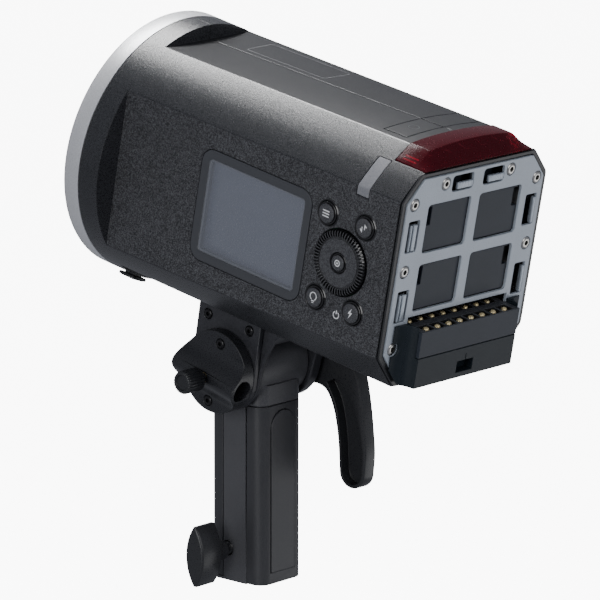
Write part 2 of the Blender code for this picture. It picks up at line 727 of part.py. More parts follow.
def make_yoke():
    """The casting under the head, its outer plate and the axle through it."""
    casting = add_solid("yoke_casting", side_prism(cheek_outline(True), -0.0235, 0.0203), CAST, HEAD)
    inner = KNUCKLE_X + 0.0006
    boolean(casting, add_cutter(box_mesh((-inner, -0.0500, -0.0500), (inner, 0.0500, 0.0205)), HEAD))
    axle_hole = moved(rod_mesh(AXLE_R + GAP, -0.0300, 0.0300, 24), TO_X)
    boolean(casting, add_cutter(axle_hole, HEAD))
    plate = add_solid("yoke_side_plate", side_prism(cheek_outline(False), 0.0206, 0.0234), CAST, HEAD)
    for y, z in ((-0.0141, 0.0234), (0.0124, 0.0240)):
        seat = moved(rod_mesh(0.0027, 0.0218, 0.0300, 16), Matrix.Translation((0.0, y, z)) @ TO_X)
        boolean(plate, add_cutter(seat, HEAD))
    add_solid("tilt_axle", rod_mesh(AXLE_R, -0.0360, 0.0200, 24), STEEL, HEAD, TO_X)


def hump_outline():
    """The umbrella block's section, as (x, z): a disc with a ridge over the umbrella hole."""
    face = []
    steps = 14
    reach = 0.0125
    for i in range(steps + 1):
        share = -1 + 2 * i / steps
        height = 0.0085 * math.cos(share * math.pi / 2) ** 2
        face.append((0.0295 + height, UMBRELLA_Z + share * reach))
    return [(0.0237, -0.0210), (0.0295, -0.0210)] + face + [(0.0295, 0.0210), (0.0237, 0.0210)]


def make_umbrella_block():
    """The round block that takes an umbrella shaft, and its clamp screw."""
    block = add_solid("umbrella_block", back_prism(hump_outline(), -0.0210, 0.0210), SATIN, UMBRELLA)
    boolean(block, add_cutter(moved(rod_mesh(CHEEK_R, 0.0200, 0.0450, 48), TO_X), UMBRELLA), "INTERSECT")
    place_hole = Matrix.Translation((UMBRELLA_X, 0.0, UMBRELLA_Z))
    boolean(block, add_cutter(rod_mesh(UMBRELLA_R, -0.0300, 0.0300, 24), UMBRELLA, place_hole @ TO_Y))
    boolean(block, add_cutter(rod_mesh(0.0030, 0.0, 0.0150, 16), UMBRELLA, place_hole @ TO_X))
    for z in (0.0146, -0.0150):
        seat = moved(rod_mesh(0.0027, 0.0280, 0.0400, 16), Matrix.Translation((0.0, 0.0, z)) @ TO_X)
        boolean(block, add_cutter(seat, UMBRELLA))
    axis = Matrix.Translation((0.0, 0.0, UMBRELLA_Z)) @ TO_X
    add_solid("umbrella_pad", rod_mesh(0.0026, 0.0348, 0.0366, 14), BRASS, UMBRELLA, axis)
    knob = add_solid("umbrella_knob", rod_mesh(0.0056, 0.0405, 0.0518, 24), SATIN, UMBRELLA, axis)
    round_edges(knob, 0.0006, 1, 60)
    boolean(knob, add_cutter(rod_mesh(0.0025, 0.0369, 0.0420, 14), UMBRELLA, axis), "UNION")


def lever_outline():
    """The tilt lever from its side, as (y, z) about the tilt axis: a hub, an arm and a hooked grip."""
    outline = arc((0.0, 0.0), 0.0170, 70, 305, 16)
    outline += [(0.0160, -0.0128), (0.0210, -0.0150), (0.0248, -0.0215), (0.0272, -0.0300)]
    outline += [(0.0286, -0.0400), (0.0293, -0.0530)]
    outline += arc((0.0372, -0.0532), 0.0079, 180, 360, 8)
    outline += [(0.0459, -0.0430), (0.0448, -0.0300), (0.0430, -0.0170), (0.0400, -0.0050)]
    outline += [(0.0330, 0.0045), (0.0200, 0.0120)]
    return outline


def pocket_outline():
    """The lightening pocket in the lever's inner face, as (y, z)."""
    outline = [(0.0215, -0.0115), (0.0262, -0.0195), (0.0288, -0.0290), (0.0302, -0.0400), (0.0309, -0.0530)]
    outline += arc((0.0372, -0.0530), 0.0063, 180, 360, 8)
    outline += [(0.0440, -0.0430), (0.0424, -0.0320), (0.0383, -0.0202), (0.0325, -0.0124), (0.0262, -0.0088)]
    return outline


def make_tilt_lever():
    lever = add_solid("tilt_lever", side_prism(lever_outline(), *LEVER_X), SATIN, LEVER)
    round_edges(lever, 0.0009)
    boolean(lever, add_cutter(side_prism(pocket_outline(), LEVER_X[1] - 0.0055, LEVER_X[1] + 0.001), LEVER))
    boolean(lever, add_cutter(rod_mesh(AXLE_R + GAP, -0.0365, -0.0200, 24), LEVER, TO_X))


def column_outline(inset=0.0):
    """The handle's section, as (x, y)."""
    low = (-COLUMN_X + inset, PIVOT_Y - COLUMN_Y + inset)
    high = (COLUMN_X - inset, PIVOT_Y + COLUMN_Y - inset)
    return rounded_box(low, high, COLUMN_R - inset, 5)


def make_handle():
    """The handle, its covers and the clamp for a stand's spigot."""
    grip_back = PIVOT_Y - 0.0073  # where the front grip ends on the sides
    seam = PIVOT_Y + 0.0074  # where the rear cover begins
    wide = 0.1

    core = add_solid("handle_core", prism_mesh(column_outline(), 0.0, 0.0980), CAST, STAND)
    knuckle = add_cutter(rod_mesh(KNUCKLE_R, -KNUCKLE_X, KNUCKLE_X, 48), STAND, Matrix.Translation(PIVOT) @ TO_X)
    rear = box_mesh((-wide, seam - GAP, -0.01), (wide, wide, 0.0880))
    front_skin = prism_mesh(column_outline(-0.001), 0.0015, 0.0880)
    front = add_cutter(front_skin, STAND)
    keep = add_cutter(prism_mesh(column_outline(0.0028), -0.01, 0.12), STAND)
    behind = add_cutter(box_mesh((-wide, grip_back - GAP, -0.01), (wide, wide, 0.12)), STAND)
    boolean(front, keep)
    boolean(front, behind)
    boolean(core, front)
    boolean(core, add_cutter(rear, STAND))
    boolean(core, knuckle, "UNION")
    boolean(core, add_cutter(rod_mesh(SPIGOT_R, -0.01, SPIGOT_DEPTH, 32), STAND))
    boolean(core, add_cutter(rod_mesh(0.0036, 0.0, 0.03, 18), STAND, Matrix.Translation((0, 0, CLAMP_Z)) @ TO_X))
    boolean(core, add_cutter(rod_mesh(AXLE_R + GAP, -0.03, 0.03, 24), STAND, Matrix.Translation(PIVOT) @ TO_X))

    cover = add_solid("handle_rear_cover", prism_mesh(column_outline(), 0.0005, 0.0980), RUBBER, STAND)
    boolean(cover, add_cutter(box_mesh((-wide, seam, -0.01), (wide, wide, 0.0877)), STAND), "INTERSECT")
    room = rod_mesh(KNUCKLE_R + GAP, -0.03, 0.03, 48)
    boolean(cover, add_cutter(room, STAND, Matrix.Translation(PIVOT) @ TO_X))
    rear_face = PIVOT_Y + COLUMN_Y
    recess = rear_inlay(0.0, rear_face - 0.0018, rear_face + 0.01)
    boolean(cover, add_cutter(recess, STAND))
    add_solid("rear_grip", rear_inlay(GAP, rear_face - 0.0015, rear_face + 0.0004), RUBBER, STAND)

    grip = add_solid("front_grip", prism_mesh(column_outline(), 0.0018, 0.0877), RUBBER, STAND)
    boolean(grip, add_cutter(prism_mesh(column_outline(0.0025), -0.01, 0.12), STAND))
    boolean(grip, add_cutter(box_mesh((-wide, grip_back - 2 * GAP, -0.01), (wide, wide, 0.12)), STAND))
    boolean(grip, add_cutter(rod_mesh(0.0045, 0.0, 0.03, 18), STAND, Matrix.Translation((0, 0, CLAMP_Z)) @ TO_X))


def rear_inlay(inset, start, end):
    """The rubber panel let into the back of the handle, with an arched top."""
    half = 0.0086 - inset
    outline = [(-half, 0.0060 + inset), (half, 0.0060 + inset)]
    outline += arc((0.0, 0.0765), half, 0, 180, 10)
    return back_prism(outline, start, end)


def make_spigot_clamp():
    """The wing screw that grips the stand's spigot, and the pad at its tip."""
    axis = Matrix.Translation((0.0, 0.0, CLAMP_Z)) @ TO_X
    add_solid("spigot_pad", rod_mesh(0.0032, 0.0086, 0.0130, 16), BRASS, STAND, axis)
    half_height = 0.0157
    half_width = 0.0056
    bow = (half_height**2 - half_width**2) / (2 * half_width)
    radius = bow + half_width
    spread = math.degrees(math.asin(half_height / radius))
    leaf = arc((-bow, 0.0), radius, -spread, spread, 12)[:-1]
    leaf += arc((bow, 0.0), radius, 180 - spread, 180 + spread, 12)[:-1]
    wing = side_prism(leaf, 0.0245, 0.0385)
    knob = add_solid("spigot_knob", wing, SATIN, STAND, Matrix.Translation((0.0, 0.0, CLAMP_Z)))
    round_edges(knob, 0.0007)
    boolean(knob, add_cutter(rod_mesh(0.0048, 0.0185, 0.0260, 20), STAND, axis), "UNION")
    boolean(knob, add_cutter(rod_mesh(0.0030, 0.0133, 0.0200, 16), STAND, axis), "UNION")


make_housing()
make_front()
make_mount_release()
make_rear()
make_fasteners()
make_signal_lens()
make_display()
make_controls()
make_connector()
make_internals()
make_yoke()
make_umbrella_block()
make_tilt_lever()
make_handle()
make_spigot_clamp()
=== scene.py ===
"""The looks of the monolight strobe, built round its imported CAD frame.

Pieces are modelled in the head's own frame: origin on the tilt axis, Y rearwards along the optical axis,
Z up through the head and X towards the display side. HEAD places that frame in the row frame.
"""

import json
import math

import bmesh
import bpy
from mathutils import Matrix, Vector


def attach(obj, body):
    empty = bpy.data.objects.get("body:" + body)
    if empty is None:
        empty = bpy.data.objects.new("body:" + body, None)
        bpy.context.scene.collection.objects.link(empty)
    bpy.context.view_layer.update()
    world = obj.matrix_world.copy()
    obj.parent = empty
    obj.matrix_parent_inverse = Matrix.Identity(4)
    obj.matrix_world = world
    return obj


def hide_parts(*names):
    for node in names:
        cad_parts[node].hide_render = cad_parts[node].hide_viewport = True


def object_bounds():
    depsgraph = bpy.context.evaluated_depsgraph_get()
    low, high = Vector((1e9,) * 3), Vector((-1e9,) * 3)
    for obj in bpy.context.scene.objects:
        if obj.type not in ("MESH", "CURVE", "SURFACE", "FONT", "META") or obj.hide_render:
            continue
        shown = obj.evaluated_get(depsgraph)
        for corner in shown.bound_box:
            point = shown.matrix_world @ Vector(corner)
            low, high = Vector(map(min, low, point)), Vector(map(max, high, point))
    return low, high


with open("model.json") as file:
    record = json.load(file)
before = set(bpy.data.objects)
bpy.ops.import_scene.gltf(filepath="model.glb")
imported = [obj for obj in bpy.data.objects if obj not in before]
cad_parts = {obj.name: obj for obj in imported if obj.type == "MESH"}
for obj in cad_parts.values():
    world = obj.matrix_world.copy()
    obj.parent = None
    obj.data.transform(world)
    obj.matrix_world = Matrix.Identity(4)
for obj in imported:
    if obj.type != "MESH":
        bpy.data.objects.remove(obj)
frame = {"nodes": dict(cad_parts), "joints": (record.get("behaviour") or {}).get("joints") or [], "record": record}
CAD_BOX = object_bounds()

JOINTS = {joint["name"]: joint for joint in frame["joints"]}
MOUNTS = {mount["name"]: mount for mount in frame["record"]["mounts"]}
SLOTS = {part["node"]: part["material_slot"] for part in frame["record"]["subparts"]}
PIVOT = Vector(JOINTS["head_tilt"]["pos_m"])
FIRING = Vector(MOUNTS["ring_front"]["axis"])
TILT = math.atan2(FIRING.z, -FIRING.y)

HEAD = Matrix.Translation(PIVOT) @ Matrix.Rotation(-TILT, 4, "X")
UMBRELLA_LEAN = math.radians(4.8)
UMBRELLA = Matrix.Translation(PIVOT) @ Matrix.Rotation(-TILT - UMBRELLA_LEAN, 4, "X")
LEVER = Matrix.Translation(PIVOT)
STAND = Matrix.Identity(4)


def at(x, y, z):
    return Matrix.Translation((x, y, z))


def turned(degrees, axis="Z"):
    return Matrix.Rotation(math.radians(degrees), 4, axis)


TO_X = turned(90, "Y")
TO_Y = turned(-90, "X")
# Takes an outline drawn in XY to the display side, its X running rearwards and its Y up.
UPRIGHT = Matrix(((0, 0, 1, 0), (1, 0, 0, 0), (0, 1, 0, 0), (0, 0, 0, 1)))

# The clearance between touching pieces, the wall of the shells and the main stations of the head, in metres.
GAP = 0.0003
WALL = 0.0025
AXIS_Z = 0.0857
RING_R = 0.064
FLANGE_FRONT = -0.0711
WALL_Y = -0.059
BODY_END = 0.1115
REAR_Y = 0.1128
PLATE_Y = 0.1136
SIDE_X = 0.0511
TOP_Z = 0.1427
CROWN = 0.0019
FLOOR_Z = 0.0347
SEAM_X = -0.001
DIAL = (0.0826, 0.0878)
BUTTONS = {
    "menu_button": (0.0711, 0.1079),
    "mode_button": (0.0939, 0.1085),
    "lamp_button": (0.0712, 0.067),
    "flash_button": (0.0939, 0.0672),
}
BUTTON_R = 0.0054
WINDOW = ((-0.0076, 0.0598), (0.0612, 0.114))
LID_OPENING = ((-0.0268, 0.0742), (0.0249, 0.0883))
LIDS = {"sync_cover": ((-0.0007, 0.0745), (0.0243, 0.088)),
        "port_cover": ((-0.0265, 0.0745), (-0.0013, 0.088))}
LABEL = ((-0.024, -0.039), (-0.005, 0.011))
LENS_X = 0.0378
LENS_Y = (0.0943, 0.1062, 0.1125)
LENS_Z = 0.139
LEDGE_X = 0.0346
CONTACT_ROWS = (0.1085, 0.119)
CONTACT_PITCH = 0.0079
BORE_R = 0.0475
STATUS_LOW = (0.0388, 0.0858, 0.1222)
STATUS_HIGH = (0.06, 0.0928, 0.15)
# How far openings reach in X through the display side and in Y through the battery end, and the inner end of
# the dial and buttons in X.
SIDE_CUT = (0.045, 0.055)
REAR_CUT = (0.105, 0.12)
CONTROL_BASE = 0.0489
# The thickness of a printed mark, the angle from which edges are rounded, and the angle in degrees below
# which faces of the curved shell are joined after a Boolean.
MARK = 0.00006
ROUND_FROM = math.radians(38)
FINE = 0.05


# ---------------------------------------------------------------- materials


def feed(tree, node, inputs):
    """Sets a node's inputs, each to a value or to the socket that drives it."""
    for name, value in inputs.items():
        if isinstance(value, bpy.types.NodeSocket):
            tree.links.new(value, node.inputs[name])
        else:
            node.inputs[name].default_value = value


def add_node(tree, kind, inputs, **settings):
    made = tree.nodes.new("ShaderNode" + kind)
    for name, value in settings.items():
        setattr(made, name, value)
    feed(tree, made, inputs)
    return made


def noise(tree, vector, scale, detail, rough=0.5):
    inputs = {"Vector": vector, "Scale": scale, "Detail": detail, "Roughness": rough}
    return add_node(tree, "TexNoise", inputs).outputs["Fac"]


def mapped(tree, value, low, high, start=0.3, end=0.7):
    """Stretches a noise value from start and end to low and high."""
    inputs = {"Value": value, "From Min": start, "From Max": end, "To Min": low, "To Max": high}
    return add_node(tree, "MapRange", inputs).outputs["Result"]


def grained(name, dark, light, rough, scale=1500.0, bump=0.3, depth=0.00004, metallic=0.0,
            contrast=(0.35, 0.7), coat=0.0, fleck=None, stretch=(1.0, 1.0, 1.0), spec=0.5, mottle=0.0):
    """A moulded, cast or blasted surface: grain in colour, gloss and relief, and mottling and flecks."""
    made = bpy.data.materials.new(name)
    made.use_nodes = True
    tree = made.node_tree
    place = add_node(tree, "TexCoord", {}).outputs["Object"]
    spread = add_node(tree, "Mapping", {"Vector": place, "Scale": stretch}).outputs["Vector"]
    grain = noise(tree, spread, scale, 2.0, 0.55)
    tint = add_node(tree, "ValToRGB", {"Fac": grain})
    for stop, position, shade in zip(tint.color_ramp.elements, contrast, (dark, light)):
        stop.position = position
        stop.color = (*shade, 1.0)
    colour = tint.outputs["Color"]
    if mottle:
        shade = mapped(tree, noise(tree, place, 45.0, 3.0), 1.0 - mottle, 1.0 + mottle)
        colour = add_node(tree, "VectorMath", {0: colour, "Scale": shade},
                          operation="SCALE").outputs["Vector"]
    if fleck:
        fleck_colour, fleck_scale, fleck_start = fleck
        mask = mapped(tree, noise(tree, place, fleck_scale, 1.0), 0.0, 1.0, fleck_start, fleck_start + 0.06)
        mix = {"Factor": mask, "A": colour, "B": (*fleck_colour, 1.0)}
        colour = add_node(tree, "Mix", mix, data_type="RGBA").outputs["Result"]
    relief = add_node(tree, "Bump", {"Height": grain, "Strength": bump, "Distance": depth})
    feed(tree, tree.nodes["Principled BSDF"], {
        "Base Color": colour,
        "Metallic": metallic,
        "Roughness": mapped(tree, grain, max(0.02, rough - 0.07), min(1.0, rough + 0.07)),
        "Specular IOR Level": spec,
        "Coat Weight": coat,
        "Coat Roughness": 0.08,
        "Normal": relief.outputs["Normal"],
    })
    return made


def clear(name, colour, rough=0.03, transmission=0.9, ior=1.45, alpha=1.0, glow=None, spec=0.5):
    """Glass or tinted plastic, with a faint ripple in its surface; glow is a colour and a strength."""
    made = grained(name, colour, colour, rough, 900.0, 0.01, 0.00002, spec=spec)
    inputs = {"Transmission Weight": transmission, "IOR": ior, "Alpha": alpha}
    if glow:
        inputs.update({"Emission Color": (*glow[0], 1.0), "Emission Strength": glow[1]})
    feed(made.node_tree, made.node_tree.nodes["Principled BSDF"], inputs)
    return made


PANEL_GRAIN = grained("panel_grain", (0.006, 0.006, 0.008), (0.108, 0.112, 0.123), 0.42, 1950.0, 1.0, 0.0004,
                      contrast=(0.43, 0.63), mottle=0.06)
SHOULDER_GRAIN = grained("shoulder_grain", (0.012, 0.013, 0.015), (0.042, 0.044, 0.05), 0.3, 2400.0, 0.6,
                         0.0001, contrast=(0.38, 0.64), mottle=0.08)
TOP_GRAIN = grained("top_grain", (0.014, 0.015, 0.017), (0.03, 0.031, 0.035), 0.42, 2800.0, 0.3, 0.00005,
                    spec=0.26, mottle=0.06)
BLASTED = grained("blasted_aluminium", (0.7, 0.71, 0.73), (0.88, 0.89, 0.91), 0.4, 2400.0, 0.3, 0.00005,
                  metallic=0.55, mottle=0.03)
MIRROR = grained("polished_reflector", (0.8, 0.81, 0.82), (0.9, 0.91, 0.92), 0.14, 260.0, 0.25, 0.0003,
                 metallic=1.0)
SATIN_BLACK = grained("satin_black", (0.018, 0.019, 0.021), (0.028, 0.029, 0.033), 0.32, 2200.0, 0.15,
                      0.00003, mottle=0.08)
SLATE = grained("slate_rim", (0.05, 0.053, 0.06), (0.062, 0.066, 0.075), 0.4, 2200.0, 0.15, 0.00003)
GLOSS_BLACK = grained("gloss_black", (0.006, 0.006, 0.007), (0.01, 0.01, 0.012), 0.16, 900.0, 0.05, 0.00002,
                      coat=0.5)
CAP_GRAIN = grained("dial_centre", (0.026, 0.027, 0.031), (0.09, 0.093, 0.102), 0.5, 1900.0, 0.6, 0.0001,
                    contrast=(0.4, 0.62))
DIAL_BAND = grained("dial_band", (0.052, 0.053, 0.058), (0.07, 0.072, 0.078), 0.32, 2200.0, 0.12, 0.00003)
CAST = grained("powder_coat", (0.018, 0.019, 0.023), (0.042, 0.043, 0.05), 0.38, 1900.0, 0.4, 0.00006,
               fleck=((0.045, 0.046, 0.052), 2300.0, 0.63), mottle=0.08)
SMOOTH_CAST = grained("smooth_black", (0.016, 0.017, 0.02), (0.024, 0.025, 0.029), 0.3, 1500.0, 0.12, 0.00003)
GRIP = grained("grip_rubber", (0.03, 0.031, 0.035), (0.044, 0.045, 0.05), 0.42, 2600.0, 0.4, 0.00005,
               mottle=0.06)
GRIP_SIDE = grained("grip_side", (0.056, 0.057, 0.063), (0.09, 0.091, 0.099), 0.4, 2000.0, 0.45, 0.00006,
                    fleck=((0.075, 0.076, 0.082), 2300.0, 0.64), mottle=0.08)
PLATE_PAINT = grained("plate_paint", (0.4, 0.445, 0.5), (0.46, 0.51, 0.57), 0.34, 1900.0, 0.12, 0.00003,
                      metallic=0.15, mottle=0.04)
LIP_METAL = grained("lip_metal", (0.36, 0.405, 0.46), (0.44, 0.49, 0.55), 0.28, 900.0, 0.15, 0.00004,
                    metallic=0.4, stretch=(1.0, 1.0, 0.15))
PANEL_SLATE = grained("panel_slate", (0.022, 0.028, 0.039), (0.032, 0.039, 0.052), 0.42, 1800.0, 0.2, 0.00004,
                      spec=0.3, mottle=0.06)
COVER_SLATE = grained("cover_slate", (0.008, 0.013, 0.018), (0.014, 0.02, 0.026), 0.4, 2200.0, 0.25, 0.00004,
                      spec=0.25, mottle=0.06)
STEEL = grained("screw_steel", (0.52, 0.51, 0.49), (0.66, 0.65, 0.62), 0.2, 1300.0, 0.2, 0.00004,
                metallic=1.0)
BLACK_STEEL = grained("black_screw", (0.01, 0.01, 0.011), (0.022, 0.022, 0.024), 0.24, 1300.0, 0.15, 0.00003,
                      metallic=0.4)
BRASS = grained("contact_gold", (0.66, 0.53, 0.27), (0.84, 0.72, 0.44), 0.3, 1500.0, 0.1, 0.00003,
                metallic=0.6)
GREY_PRINT = grained("grey_print", (0.2, 0.2, 0.21), (0.26, 0.26, 0.27), 0.5, 2500.0, 0.1, 0.00002)
PRINT = grained("white_print", (0.8, 0.81, 0.83), (0.9, 0.91, 0.93), 0.5, 2500.0, 0.1, 0.00002)
SCREEN = grained("screen_face", (0.08, 0.09, 0.124), (0.092, 0.103, 0.14), 0.22, 1500.0, 0.05, 0.00002,
                 coat=0.4)
SCREEN_WALL = grained("screen_wall", (0.065, 0.072, 0.092), (0.085, 0.094, 0.118), 0.35, 1500.0, 0.15,
                      0.00003)
COVER_GLASS = clear("cover_glass", (0.6, 0.63, 0.7), 0.05, 0.0, 1.45, 0.1)
STATUS = grained("status_diffuser", (0.2, 0.205, 0.225), (0.25, 0.255, 0.275), 0.34, 1500.0, 0.15, 0.00003,
                 coat=0.25)
RED_LENS = clear("red_lens", (0.13, 0.014, 0.023), 0.21, 0.55, 1.17, spec=0.16)
# The bars glow though no lamp is in them: a painted glow.
RED_BAR_GLOW = clear("red_bar_glow", (0.7, 0.0, 0.08), 0.2, 0.0, 1.45, 1.0, ((1.0, 0.0, 0.09), 0.9))
RED_BLOCK = grained("red_inner", (0.02, 0.002, 0.004), (0.05, 0.004, 0.008), 0.35, 500.0, 0.15, 0.0001)
TUBE_GLASS = clear("tube_glass", (0.95, 0.96, 0.97), 0.03, 0.85)
DOME_GLASS = clear("dome_glass", (0.96, 0.97, 0.98), 0.1, 0.93)
LAMP = grained("lamp_phosphor", (0.78, 0.62, 0.16), (0.88, 0.72, 0.24), 0.45, 900.0, 0.2, 0.0001)
CERAMIC = grained("ceramic", (0.7, 0.69, 0.66), (0.8, 0.79, 0.76), 0.5, 900.0, 0.2, 0.0001)
BOARD = grained("circuit_board", (0.008, 0.055, 0.028), (0.02, 0.1, 0.05), 0.35, 420.0, 0.2, 0.0001, coat=0.3)
SLEEVE = grained("capacitor_sleeve", (0.012, 0.03, 0.09), (0.02, 0.045, 0.12), 0.25, 500.0, 0.1, 0.0001)
# Near black, as painted shade in sockets, wells and the sheets inside the head where shade falls.
PAINTED_SHADE = grained("painted_shade", (0.004, 0.004, 0.005), (0.009, 0.009, 0.01), 0.6, 900.0, 0.2, 0.0001)


# ---------------------------------------------------------------- mesh tools


def moved(work, matrix):
    """The mesh itself, after the move."""
    bmesh.ops.transform(work, matrix=matrix, verts=work.verts)
    return work


def box(low, high, matrix=None):
    """A box between two corners."""
    work = bmesh.new()
    bmesh.ops.create_cube(work, size=1.0)
    low, high = Vector(low), Vector(high)
    bmesh.ops.scale(work, vec=high - low, verts=work.verts)
    bmesh.ops.translate(work, vec=(low + high) / 2, verts=work.verts)
    return moved(work, matrix) if matrix else work


def prism(outline, start, end):
    """A flat outline in XY, extruded along Z from start to end."""
    work = bmesh.new()
    low = [work.verts.new((x, y, start)) for x, y in outline]
    high = [work.verts.new((x, y, end)) for x, y in outline]
    count = len(outline)
    work.faces.new(low)
    work.faces.new(high)
    for i in range(count):
        j = (i + 1) % count
        work.faces.new((low[i], low[j], high[j], high[i]))
    bmesh.ops.recalc_face_normals(work, faces=work.faces)
    return work


def side_prism(outline, start, end):
    """A prism along X whose outline is (y, z)."""
    return moved(prism(outline, start, end), UPRIGHT)


def back_prism(outline, start, end):
    """A prism along Y whose outline is (x, z)."""
    return moved(prism([(x, -z) for x, z in outline], start, end), TO_Y)


def lathe(profile, steps=64, matrix=None, change=None, closed=True):
    """A turned solid from (radius, height) points; change(radius, height, index, step) may cut ribs in it."""
    work = bmesh.new()
    rows = []
    for i, (radius, height) in enumerate(profile):
        if radius < 1e-6:
            rows.append([work.verts.new((0.0, 0.0, height))])
            continue
        row = []
        for k in range(steps):
            angle = 2 * math.pi * k / steps
            r, h = change(radius, height, i, k) if change else (radius, height)
            row.append(work.verts.new((r * math.cos(angle), r * math.sin(angle), h)))
        rows.append(row)
    pairs = list(zip(rows, rows[1:]))
    if closed and len(rows[0]) > 1 and len(rows[-1]) > 1:
        pairs.append((rows[-1], rows[0]))
    for near, far in pairs:
        for k in range(steps):
            j = (k + 1) % steps
            corners = [near[k % len(near)], near[j % len(near)], far[j % len(far)], far[k % len(far)]]
            unique = list(dict.fromkeys(corners))
            if len(unique) > 2:
                work.faces.new(unique)
    bmesh.ops.recalc_face_normals(work, faces=work.faces)
    return moved(work, matrix) if matrix else work


def rod(radius, start, end, steps=32, matrix=None, chamfer=0.0):
    profile = [(0.0, start), (radius, start), (radius, end), (0.0, end)]
    if chamfer:
        profile[1:3] = [(radius - chamfer, start), (radius, start + chamfer), (radius, end - chamfer),
                        (radius - chamfer, end)]
    return lathe(profile, steps, matrix, closed=False)


def loft(rings):
    """A closed solid through rings that have the same number of points."""
    work = bmesh.new()
    rows = [[work.verts.new(point) for point in ring] for ring in rings]
    count = len(rows[0])
    for near, far in zip(rows, rows[1:]):
        for i in range(count):
            j = (i + 1) % count
            work.faces.new((near[i], near[j], far[j], far[i]))
    work.faces.new(rows[0])
    work.faces.new(rows[-1])
    bmesh.ops.remove_doubles(work, verts=work.verts, dist=2e-6)
    bmesh.ops.recalc_face_normals(work, faces=work.faces)
    return work


def merged(*works):
    """One mesh that holds several bodies."""
    total = bmesh.new()
    for work in works:
        mesh = bpy.data.meshes.new("part")
        work.to_mesh(mesh)
        total.from_mesh(mesh)
        bpy.data.meshes.remove(mesh)
        work.free()
    return total


def arc(centre, radius, first, last, steps):
    """Points on a circle between two angles in degrees."""
    made = []
    for i in range(steps + 1):
        angle = math.radians(first + (last - first) * i / steps)
        made.append((centre[0] + radius * math.cos(angle), centre[1] + radius * math.sin(angle)))
    return made


def rounded(low, high, radius, steps=6):
    """A rectangle with round corners, counter-clockwise."""
    (x0, y0), (x1, y1) = low, high
    outline = []
    for x, y, start in ((x1 - radius, y1 - radius, 0), (x0 + radius, y1 - radius, 90),
                        (x0 + radius, y0 + radius, 180), (x1 - radius, y0 + radius, 270)):
        outline += arc((x, y), radius, start, start + 90, steps)
    return outline


def mirrored(half):
    """A half outline, from its bottom to its top on +X, with its mirror image added."""
    return half + [(-x, z) for x, z in reversed(half)]


def flowing(points, steps=4):
    """A smooth line through the points, open at its ends."""
    ends = [points[0], *points, points[-1]]
    made = []
    for a, b, c, d in zip(ends, ends[1:], ends[2:], ends[3:]):
        for i in range(steps):
            t = i / steps
            made.append(tuple(0.5 * (2 * q + (r - p) * t + (2 * p - 5 * q + 4 * r - s) * t**2
                                     + (3 * q - p - 3 * r + s) * t**3) for p, q, r, s in zip(a, b, c, d)))
    return made + [tuple(points[-1])]


def soften(work, offset, least=50.0, segments=2, along=None):
    """Rounds the edges that are sharper than an angle, or only those that run along a direction."""
    chosen = []
    for edge in work.edges:
        if len(edge.link_faces) != 2 or math.degrees(edge.calc_face_angle(0.0)) < least:
            continue
        run = (edge.verts[1].co - edge.verts[0].co).normalized()
        if along is None or abs(run.dot(along)) > 0.9:
            chosen.append(edge)
    bmesh.ops.bevel(work, geom=chosen, offset=offset, segments=segments, profile=0.5, affect="EDGES",
                    clamp_overlap=False)
    return work


def as_object(name, work):
    mesh = bpy.data.meshes.new(name)
    work.to_mesh(mesh)
    work.free()
    made = bpy.data.objects.new(name, mesh)
    bpy.context.scene.collection.objects.link(made)
    return made


def carved(work, cuts, flat):
    """The mesh after Booleans given as (operation, mesh), with faces that are flat to an angle joined."""
    base = as_object("work", work)
    others = []
    for operation, other in cuts:
        cutter = as_object("cutter", other)
        others.append(cutter)
        step = base.modifiers.new("cut", "BOOLEAN")
        step.operation = operation
        step.solver = "EXACT"
        step.object = cutter
    bpy.context.view_layer.update()
    graph = bpy.context.evaluated_depsgraph_get()
    mesh = bpy.data.meshes.new_from_object(base.evaluated_get(graph))
    for made in (base, *others):
        bpy.data.objects.remove(made)
    result = bmesh.new()
    result.from_mesh(mesh)
    bmesh.ops.remove_doubles(result, verts=result.verts, dist=1e-6)
    bmesh.ops.dissolve_limit(result, angle_limit=math.radians(flat), verts=result.verts, edges=result.edges)
    return result


def cut(work, *others, flat=0.5):
    """The mesh with others cut out of it."""
    return carved(work, [("DIFFERENCE", other) for other in others], flat)


def bevelled(made, width):
    """Rounds an object's edges with a modifier."""
    edge = made.modifiers.new("round_off", "BEVEL")
    edge.width = width
    edge.segments = 2
    edge.limit_method = "ANGLE"
    edge.angle_limit = ROUND_FROM
    edge.use_clamp_overlap = False
    edge.harden_normals = True


def evened(made):
    """Lets the large faces rule the shading beside small ones."""
    lit = made.modifiers.new("lit", "WEIGHTED_NORMAL")
    lit.keep_sharp = True


def piece(name, work, materials, slot, stands_for=(), body="head", place=HEAD, round_off=0.0, smooth=32.0,
          choose=None):
    """Makes a piece, puts it in place and lets it ride on its body; choose(face) gives a face's material."""
    made = as_object(name, work)
    materials = materials if isinstance(materials, (list, tuple)) else [materials]
    for material in materials:
        made.data.materials.append(material)
    if choose:
        for face in made.data.polygons:
            face.material_index = choose(face)
    made.data.shade_smooth()
    made.data.set_sharp_from_angle(angle=math.radians(smooth))
    if round_off:
        bevelled(made, round_off)
    made.matrix_world = place
    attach(made, body)
    if stands_for:
        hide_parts(*([stands_for] if isinstance(stands_for, str) else stands_for))
    return made


def look(node, work, materials, **more):
    """A piece that takes a CAD node's place."""
    return piece(f"{node}_look", work, materials, SLOTS[node], stands_for=node, **more)


def dress(node, material, round_off=0.0):
    """Gives a CAD node its finish, and rounds its edges a little."""
    made = frame["nodes"][node]
    made.data.materials.clear()
    made.data.materials.append(material)
    if "custom_normal" in made.data.attributes:
        made.data.attributes.remove(made.data.attributes["custom_normal"])
    made.data.shade_smooth()
    weld = made.modifiers.new("weld", "WELD")
    weld.merge_threshold = 0.000002
    if round_off:
        bevelled(made, round_off)
    evened(made)


# ---------------------------------------------------------------- the head's shell

